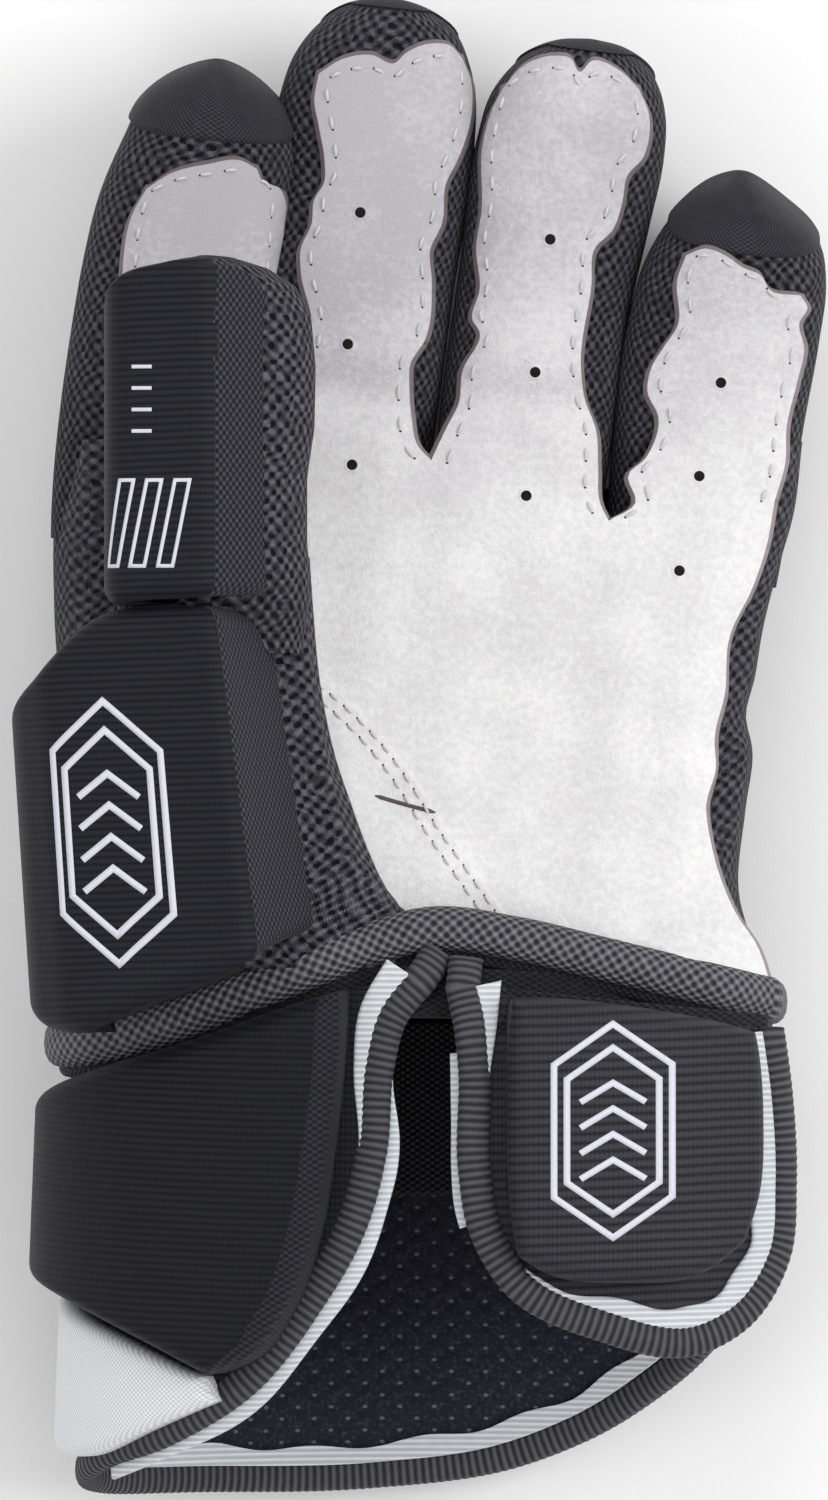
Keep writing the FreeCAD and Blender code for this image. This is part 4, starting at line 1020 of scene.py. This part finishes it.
THUMB_HIDE = 56.2  # the height of the hide on the thumb's inner side
made_piece = slab("thumb_suede_strip", between_corners((-45, 27), (-25, 27), (-41, 74), (-28, 74), 20),
                  lambda x, y, h: np.stack(np.broadcast_arrays(x, y, THUMB_HIDE - h), -1), 1.0,
                  [finger_suede, raw_edge], 20, 40, flare=0.6, wall=1)
follow(made_piece, "thumb_tip", ["thumb_suede"])

# ---- Welt ----
# A padded welt of coarse basket weave goes round the wrist and finishes the hand. It is highest over the
# heel of the palm.
welt_weave = weave_finish("welt_basket_weave", 2.0, 2.0, (38, 38, 43), (132, 131, 139), 0.35)


ROLL_POWER = 2.4  # how square a swept roll's section is; 2 is round


def swept(name, line, up, wide, high, finishes, rib=0.0, rib_pitch=1.3, loop=False):
    """A roll or folded binding along a line, flat side to the cloth, with real ribs where rib is over 0."""
    ahead = np.gradient(line, axis=0)
    if loop:
        ahead[0] = ahead[-1] = line[1] - line[-2]
    ahead /= np.linalg.norm(ahead, axis=1, keepdims=True)
    up = up - ahead * np.sum(up * ahead, 1, keepdims=True)
    up /= np.linalg.norm(up, axis=1, keepdims=True)
    side = np.cross(ahead, up)
    run = np.concatenate(([0], np.cumsum(np.linalg.norm(np.diff(line, axis=0), axis=1))))
    swell = (1 + rib * np.cos(2 * np.pi * run / rib_pitch))[:, None]
    turn = np.linspace(0, 2 * np.pi, 17)[None]
    c, z = (squarer(wave, 2 / ROLL_POWER) for wave in (np.cos(turn), np.sin(turn)))
    sideways = (c * wide * swell)[..., None] * side[:, None]
    ring = line[:, None] + sideways + (z * high * swell)[..., None] * up[:, None]
    cloth = cloth_sheet(turn / (2 * np.pi) * 4 * (wide + high), run[:, None])
    sheets = [(ring, cloth, 0)]
    if not loop:
        sheets += [closed_end(ring[k], cloth[k]) for k in (0, -1)]
    return sew(name, sheets, finishes)


WELT_RUN = (  # x, y, z round the wrist, palm side first
    (59, -41.5, 44), (50, -39.2, 51.5), (40, -36.8, 54.5), (31, -34.6, 56), (17, -31.3, 57.5),
    (3, -29.6, 58.5), (-8, -32.4, 58), (-19, -36.6, 59), (-32, -42, 57.5), (-44, -46.4, 53.5),
    (-54, -49, 47), (-59, -49.5, 38), (-59, -48.5, 28), (-54, -47, 18), (-42, -46, 10.5), (-20, -45.5, 6.6),
    (5, -45.3, 5.6), (28, -45, 7), (44, -44.5, 11.5), (55, -43.5, 20), (60, -42.5, 33), (59, -41.5, 44))
welt_line = flowing(WELT_RUN, 420)
from_middle = (welt_line - np.array((0, 0, 33))) * (1.0, 0.0, 2.2)
made_piece = swept("wrist_welt_roll", welt_line, from_middle, 3.7, 2.7, [welt_weave], loop=True)
follow(made_piece, "hand", ["wrist_welt"])
seam_tape = weave_finish("seam_band", 1.3, 1.3, (16, 16, 20), (44, 44, 50), 0.15)
outward = from_middle / np.linalg.norm(from_middle, axis=1, keepdims=True)
band_line = welt_line + np.array((0, -3.7, 0)) - outward * 1.1
made_piece = swept("wrist_seam_band", band_line, from_middle, 1.7, 1.3, [seam_tape], loop=True)
follow(made_piece, "hand")

# ---- Cuff ----
# The cuff is a tapered tube of lined cloth, open along the palm side. Black knit with small pale dots lines
# it, and a woven patch covers the wrist end inside.
CUFF_MIDDLE = 37.8
CUFF_FRONT, CUFF_LONG = -51, 76
TURN_RADIUS = 45.0  # millimetres of cloth for each radian round the cuff


def up_arm(y):
    """0 at the cuff's front and 1 near its rear rim."""
    return (CUFF_FRONT - y) / CUFF_LONG


def round_cuff(growth):
    """Lays cloth round the cuff: u along its girth, v along the arm, growth outward from its lining."""

    def wrap(u, v, height):
        u, v, height = np.broadcast_arrays(u, v, height)
        back = up_arm(v)
        turn = u / TURN_RADIUS
        grown = growth + height
        x = (52.5 + 3.0 * back + grown) * np.cos(turn)
        return np.stack((x, v, CUFF_MIDDLE + (25.5 + 3.1 * back + grown) * np.sin(turn)), -1)

    return wrap


def cuff_spots(points, growth=0.0):
    """Places on the bench, or degrees past half a turn, as places round the cuff."""
    spots = []
    for x, y, *degrees in points:
        half_wide = 52.5 + 3.0 * up_arm(y) + growth
        turn = math.radians(degrees[0]) if degrees else math.acos(max(-1, min(1, x / half_wide)))
        spots.append((turn * TURN_RADIUS, y))
    return spots


LEFT_RIM = ((1.8, -37), (-3.8, -44), (-6.0, -52), (-7.2, -66), (-10.8, -79), (-17.4, -90.6), (-29, -105),
            (-41, -112.6), (-51.5, -117))
REAR_RIM = ((-51.5, -117), (0, -120.5, 178), (0, -122.6, 198), (0, -123.4, 228), (0, -123.3, 262),
            (0, -120.5, 285), (0, -115.3, 301), (0, -106.5, 320), (0, -98, 338), (0, -90, 356))
RIGHT_RIM = ((0, -90, 356), (0, -78, 376), (0, -60, 392), (0, -45, 398))
FRONT_RIM = ((2.2, -37), (0, -42, 115), (0, -49, 150), (0, -50, 180), (0, -49, 270), (0, -47, 350),
             (0, -45, 398))
left_rim, rear_rim = flowing(cuff_spots(LEFT_RIM), 80), flowing(cuff_spots(REAR_RIM), 160)
right_rim, front_rim = flowing(cuff_spots(RIGHT_RIM), 60), flowing(cuff_spots(FRONT_RIM), 160)
cuff_area = patch(rear_rim, front_rim, left_rim[::-1], right_rim)
made_piece = slab("cuff_lining_shell", cuff_area, round_cuff(-1.5), 2.4, [cuff_cloth, lining_knit], 130, 60,
                  wall=1, under=1)
follow(made_piece, "cuff", ["cuff_liner"])
patch_cloth = weave_finish("wrist_patch_satin", 1.5, 1.1, (18, 18, 22), (40, 40, 46), 0.15, 0.4)
PER_DEGREE = (math.radians(1) * TURN_RADIUS, 1)  # turns degrees round the cuff into millimetres of cloth
wrist_area = between_corners((195, -77), (345, -75), (195, -46), (345, -46), 40, PER_DEGREE)
made_piece = slab("cuff_wrist_patch", wrist_area, round_cuff(-2.6), 1.0, [patch_cloth], 60, 30)
follow(made_piece, "cuff")
gusset_turn = np.linspace(0, 2 * np.pi, 121)
rows = []
for share in np.linspace(0, 1, 14):
    back = share * 8
    x = (56.5 - 2.2 * share) * np.cos(gusset_turn)
    z = 34 + 3.8 * share + (25.5 - 1.0 * share) * np.sin(gusset_turn)
    rows.append(np.stack((x, -44 + 0 * x + 8 * np.clip(np.sin(gusset_turn), 0, 1) ** 1.5 - back, z), -1))
rows = np.stack(rows)
cloth = cloth_sheet(gusset_turn[None] * 42, rows[:, :1, 1])
stretch = weave_finish("wrist_elastic", 1.6, 1.0, (16, 16, 20), (40, 40, 46), 0.2)
made_piece = shell("wrist_elastic_gusset", rows, cloth, 1.0, [stretch])
follow(made_piece, bending("hand", "cuff", (0, -43, 58), (0, -50, 58)))

# ---- Cuff pads ----
# A thick foam pad covers the thumb side of the cuff and another the back of the wrist, both in ribbed
# nylon. A white satin panel finishes the thumb side near the rear rim.
cuff_side_knit = knit_finish("cuff_side_knit", (20, 20, 26), (48, 47, 56))
THUMB_PAD_SIDE = ((-12.4, -39.5), (-12.6, -46), (-14.8, -65.8), (-17.6, -80.6), (-22, -92.1), (-29, -100.6),
                  (-34.8, -102.9))
THUMB_PAD_REAR = ((-34.8, -102.9), (-46.7, -97.2), (-57.2, -92.2), (0, -88.5, 180), (0, -86, 214))
THUMB_PAD_FRONT = ((-12.4, -39.5), (-19, -41.4), (-38.5, -48), (-54.5, -53), (0, -57, 180), (0, -57, 214))
PAD_GROWTH = 9.4  # how far the pad's face stands off the lining
pad_right, pad_rear, pad_front = (
    flowing(cuff_spots(line, PAD_GROWTH), 70) for line in (THUMB_PAD_SIDE, THUMB_PAD_REAR, THUMB_PAD_FRONT))


def by_opening(u, v):
    """Which cloth covers a place on the pad: 1 the knit beside the cuff's opening, 0 the ribbed nylon."""
    return (u < np.interp(-v, -pad_right[:, 1], pad_right[:, 0]) + 2.5).astype(int)


pad_area = patch(pad_rear, pad_front, pad_right[::-1], np.linspace(pad_rear[-1], pad_front[-1], 30))
made_piece = slab("cuff_thumb_foam", pad_area, round_cuff(1.1), 9.6, [cuff_cloth, cuff_side_knit], 110, 70,
                  edge=3.6, wall=1, zone=by_opening)
follow(made_piece, "cuff", ["cuff_thumb_pad"])
back_area = between_corners((219, -104), (318, -102), (219, -51), (321, -51), 40, PER_DEGREE)
made_piece = slab("cuff_back_foam", back_area, round_cuff(1.0), 7.6, [cuff_cloth], 60, 40, edge=3.4,
                  soft=0.06, crown=0.4)
follow(made_piece, "cuff", ["cuff_back_pad"])
white_satin = knit_finish("white_satin_knit", (206, 208, 212), (243, 245, 248), pitch=0.8, depth=0.05)
panel_lines = [flowing(cuff_spots(line, 4.0), 40) for line in (
    ((-33, -107.6), (-43, -112), (-53, -117), (0, -117, 186)),
    ((-35, -103.5), (-47, -98.4), (-57, -93.4), (0, -90, 186)),
    ((-33, -107.6), (-35, -103.5)), ((0, -117, 186), (0, -90, 186)))]
made_piece = slab("cuff_white_panel", patch(*panel_lines), round_cuff(1.0), 4.4, [white_satin], 50, 36,
                  edge=2.0)
follow(made_piece, "cuff", ["cuff_side_panel"])

# ---- Binding and tape of the cuff ----
# Ribbed grosgrain is folded over the cuff's open edge all the way round. A pale ribbed tape is sewn beside
# it, and shows as a wavy sliver inside the rear rim and beside the open edge.
def ribbon_finish(name, pitch, low, high, depth, rough=0.6):
    """Grosgrain: close ribs straight across the ribbon, painted lighter on their tops and darker between them
    as light and shade, with random blotches.
    """
    made = finish(name, high, rough, sheen=0.06, specular=0.18)
    _, v = along_cloth(made)
    rib = ripple(made, v, pitch, "SINE")
    coloured_by(made, between(made, maths(made, "ADD", rib, blotches(made, 1.5)), -0.6, 1.5), low, high)
    raised(made, rib, depth)
    return made


RIB_PITCH = 1.35
binding_ribbon = ribbon_finish("binding_grosgrain", RIB_PITCH, (38, 38, 42), (86, 86, 92), 0.12)
pale_tape = ribbon_finish("pale_ribbed_tape", 1.0, (186, 192, 198), (226, 230, 234), 0.08, 0.45)


def along_wrap(line, wrap, count):
    """A line on a wrapped layer, with the way that faces outward at each point."""
    spots = evenly(line, count)
    here = wrap(spots[:, 0], spots[:, 1], np.zeros(count))
    return here, wrap(spots[:, 0], spots[:, 1], np.ones(count)) - here


def bind(name, line, up):
    """Grosgrain folded over an edge: 5.6 millimetres wide and 3.8 high, with its ribs."""
    return swept(name, line, up, 2.8, 1.9, [binding_ribbon], rib=0.022, rib_pitch=RIB_PITCH)


tucked_in = np.linspace(cuff_spots(((4.2, -33.4),))[0], left_rim[0], 6)[:-1]
rim = np.concatenate((tucked_in, left_rim, rear_rim[1:], right_rim[1:]))
rim_line, rim_up = along_wrap(rim, round_cuff(-0.3), 1200)
rim_line[:, 2] -= 2.6 * ease(-39, -33, rim_line[:, 1]) * ease(45, 55, rim_line[:, 2])
follow(bind("cuff_binding_ribbon", rim_line, rim_up), "cuff", ["cuff_binding"])


def offset(line, distance):
    """The line moved sideways by a distance, which may change along it."""
    ahead = np.gradient(line, axis=0)
    ahead /= np.linalg.norm(ahead, axis=1, keepdims=True)
    sideways = np.stack((-ahead[:, 1], ahead[:, 0]), -1)
    return line + sideways * np.broadcast_to(distance, (len(line),))[:, None]


def tape(name, line, wrap, near, far, body, nodes=(), thick=0.7):
    """A flat tape between two distances beside a line."""
    inner, outer = offset(line, near), offset(line, far)
    strip = patch(inner, outer, np.linspace(inner[0], outer[0], 8), np.linspace(inner[-1], outer[-1], 8))
    made = slab(name, strip, wrap, thick, [pale_tape], 260, 8, edge=0.3)
    return follow(made, body, nodes)


wave = 0.5 * np.sin(np.linspace(0, 60, 160)) + 0.3 * np.sin(np.linspace(1, 23, 160))
tape("cuff_rear_tape", evenly(rear_rim, 160), round_cuff(-2.6), 1.8, 5.0 + wave, "cuff", ["cuff_tape"])
tape("cuff_edge_tape", evenly(left_rim[1:24], 160), round_cuff(0.4), 1.0,
     1.6 + 4.2 * np.linspace(1, 0, 160) ** 1.2, "cuff", thick=0.8)
opening_wide = 2.4 + 2.1 * ease(0, 0.2, np.linspace(0, 1, 160)) + 0.3 * np.sin(np.linspace(0, 21, 160))
tape("cuff_opening_tape", evenly(left_rim[14:], 160), round_cuff(-1.4), -1.2, -opening_wide, "cuff")

# ---- Flap ----
# The flap on the little-finger side hangs from the wrist seam. It has a ribbed foam pad, pale tape beside
# it, and the same grosgrain binding folded over its edge.
def on_flap(growth):
    """Lays cloth on the flap: u and v are places on the bench, growth is outward from its lining."""

    def wrap(x, y, height):
        x, y, height = np.broadcast_arrays(x, y, height)
        share = np.clip((x - 4) / 60, 0, 1.2)
        level = 66.0 + 2.6 * up_arm(y) - 19.0 * share**2.5
        level = level - 3.0 * ease(-50, -38, y) - 1.6 * np.clip((10 - x) / 10, 0, 1) ** 2
        lean = 19.0 * 2.5 * share**1.5 / 60
        across, up = lean / np.sqrt(1 + lean**2), 1 / np.sqrt(1 + lean**2)
        grown = growth + height
        return np.stack((x + across * grown, y, level + up * grown), -1)

    return wrap


FLAP_EDGE = ((8, -39.4), (9.2, -45), (10, -52), (10, -69), (11.8, -79), (17.4, -88), (30.5, -94.6),
             (46, -97.4), (53.5, -93.5), (59.5, -84), (60.6, -72), (60, -58), (58.5, -46.5))
FLAP_PAD = 7.4
flap_rim = flowing(FLAP_EDGE, 400)
flap_left, flap_low, flap_right = flap_rim[:150][::-1], flap_rim[149:270], flap_rim[269:]
flap_area = patch(flap_low, np.linspace(flap_rim[0], flap_rim[-1], 60), flap_left, flap_right)
made_piece = slab("flap_lining_sheet", flap_area, on_flap(0.0), 1.5, [flap_cloth, lining_knit], 60, 60,
                  wall=1, under=1)
follow(made_piece, "cuff_flap", ["flap_liner"])
pad_lines = [flowing(line, 80) for line in (
    ((16.4, -83.6), (22, -86.4), (33, -87.6), (44, -86.8), (51.4, -81.5)),
    ((15, -40.2), (30, -41.6), (43, -43.8), (53.6, -46.2)),
    ((16.4, -83.6), (15.4, -74), (15, -56), (15, -40.2)),
    ((51.4, -81.5), (53.8, -73), (54.4, -60), (53.6, -46.2)))]
on_flap_lining = on_flap(1.6)
made_piece = slab("flap_foam_pad", patch(*pad_lines), on_flap_lining, FLAP_PAD, [flap_cloth, facet_knit], 70,
                  70, edge=3.2, soft=0.03, wall=1)
follow(made_piece, "cuff_flap", ["flap_pad"])
rim_line, rim_up = along_wrap(np.concatenate((((8.6, -34.4), (8.3, -37)), flap_rim)), on_flap(0.9), 1100)
rim_line[:, 2] -= 2.2 * ease(-40, -34, rim_line[:, 1]) * ease(30, 12, rim_line[:, 0])
follow(bind("flap_binding_ribbon", rim_line, rim_up), "cuff_flap", ["flap_binding"])
tape("flap_top_tape", evenly(flap_rim[:50], 200), on_flap(1.55), 1.6,
     1.9 + 4.6 * np.linspace(1, 0, 200) ** 1.3, "cuff_flap")
outer_wide = 2.4 + 3.0 * ease(0, 0.3, np.linspace(0, 1, 200)) + 0.35 * np.sin(np.linspace(0, 40, 200))
tape("flap_outer_tape", evenly(flap_rim[140:], 200), on_flap(1.55), 1.6, outer_wide, "cuff_flap",
     ["flap_tape"])
inner_wide = 3.9 + 0.2 * np.sin(np.linspace(0, 9, 200))
tape("flap_inner_tape", evenly(flap_rim[30:112], 200), on_flap(-0.7), -1.2, -inner_wide, "cuff_flap")
hinge_area = between_corners((6.5, -46), (58, -50), (8, -38.6), (58, -44), 30)
made_piece = slab("flap_hinge_cloth", hinge_area, on_flap(0.3), 1.2, [stretch], 40, 16)
follow(made_piece, bending("cuff", "cuff_flap", (30, -37, 60), (30, -45, 60)))

# ---- Printed marks ----
# Plain marks are printed in pale ink: a long six-sided frame with chevrons on the thumb and flap pads, and
# three slanting bars with four dashes beyond them on the thumb's tip.
print_ink = finish("pale_print", (214, 216, 226), 0.5, specular=0.4)
coloured_by(print_ink, blotches(print_ink, 0.5), (204, 206, 216), (222, 224, 233))


def printed(name, lines, wrap, height, body, width=1.0):
    """Ink lines a tenth of a millimetre proud of the cloth."""
    sheets = []
    for line, closed in lines:
        line = np.asarray(line, float)
        corners = np.concatenate((line, line[:1])) if closed else line
        fine = []
        for a, b in zip(corners[:-1], corners[1:]):
            fine.append(np.linspace(a, b, max(3, int(np.linalg.norm(b - a))))[:-1])
        fine = np.concatenate(fine + [corners[-1:]])
        ahead = np.diff(corners, axis=0)
        ahead /= np.linalg.norm(ahead, axis=1, keepdims=True)
        normals = np.stack((-ahead[:, 1], ahead[:, 0]), -1)
        mitres = []
        for k in range(len(corners)):
            before = normals[k - 1] if k or closed else normals[0]
            after = normals[k % len(normals)] if k < len(normals) or closed else normals[-1]
            both = before + after
            mitres.append(both / max(np.dot(both, before), 0.35))
        starts = [int(np.argmin(np.linalg.norm(fine - c, axis=1))) for c in corners[:-1]] + [len(fine) - 1]
        steps = np.arange(len(fine))
        side = np.stack([np.interp(steps, starts, column) for column in np.array(mitres).T], -1)
        rows = [wrap(*(fine + side * width / 2 * way).T, height + level) for way, level in
                ((-1, -0.1), (-1, 0.1), (1, 0.1), (1, -0.1), (-1, -0.1))]
        sheet = np.stack(rows)
        sheets.append((sheet, sheet[..., :2], 0))
    return follow(sew(name, sheets, [print_ink]), body)


def long_mark(x, y, half_wide, half_long, lean=0.0):
    """A long six-sided frame, a smaller frame inside it, and four chevrons."""
    lines = []
    for grow in (1.0, 0.78):
        w, l = half_wide * grow, half_long * grow
        corners = ((0, l), (w, l * 0.62), (w, -l * 0.62), (0, -l), (-w, -l * 0.62), (-w, l * 0.62))
        lines.append(([(x + a + lean * b, y + b) for a, b in corners], True))
    for level in (-0.36, -0.12, 0.12, 0.36):
        w, l = half_wide * 0.55, half_long
        chevron = ((-w, (level - 0.09) * l), (0, (level + 0.09) * l), (w, (level - 0.09) * l))
        lines.append(([(x + a + lean * b, y + b) for a, b in chevron], False))
    return lines


base_mark, flap_mark = long_mark(-20.5, -13.5, 9.2, 21.5), long_mark(30.6, -62.5, 8.8, 17.5)
printed("thumb_base_mark", base_mark, base_wrap, GUARD, "thumb_base", 1.1)
printed("flap_mark", flap_mark, on_flap_lining, FLAP_PAD, "cuff_flap")
bars = []
for step in (-1, 0, 1):
    x, y = -10.4 + 4.6 * step, 37.0
    bars.append(([(x - 2.6, y - 7), (x - 0.2, y - 7), (x + 2.6, y + 7), (x + 0.2, y + 7)], True))
dashes = [([(-12.7, y), (-9.4, y)], False) for y in (52, 55.5, 59, 62.5)]
printed("thumb_tip_mark", bars + dashes, tip_wrap, TIP_GUARD, "thumb_tip", 0.6)

# ---- Plastic inserts ----
# Stiff white plastic plates lie inside the rolls, the finger pads and the thumb guard. They are the frame's
# own pieces with a moulded finish.
plastic = finish("moulded_plastic", (222, 222, 216), 0.45)
plastic_grain = blotches(plastic, 1.5)
coloured_by(plastic, plastic_grain, (212, 212, 206), (228, 228, 222))
raised(plastic, plastic_grain, 0.03)
HAND_INSERTS = ["backhand_inserts", "thumb_base_insert", "thumb_tip_insert"]
for name in [finger + "_base_insert" for finger in FINGER_NAMES] + HAND_INSERTS:
    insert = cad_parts[name]
    insert.data.materials.clear()
    insert.data.materials.append(plastic)
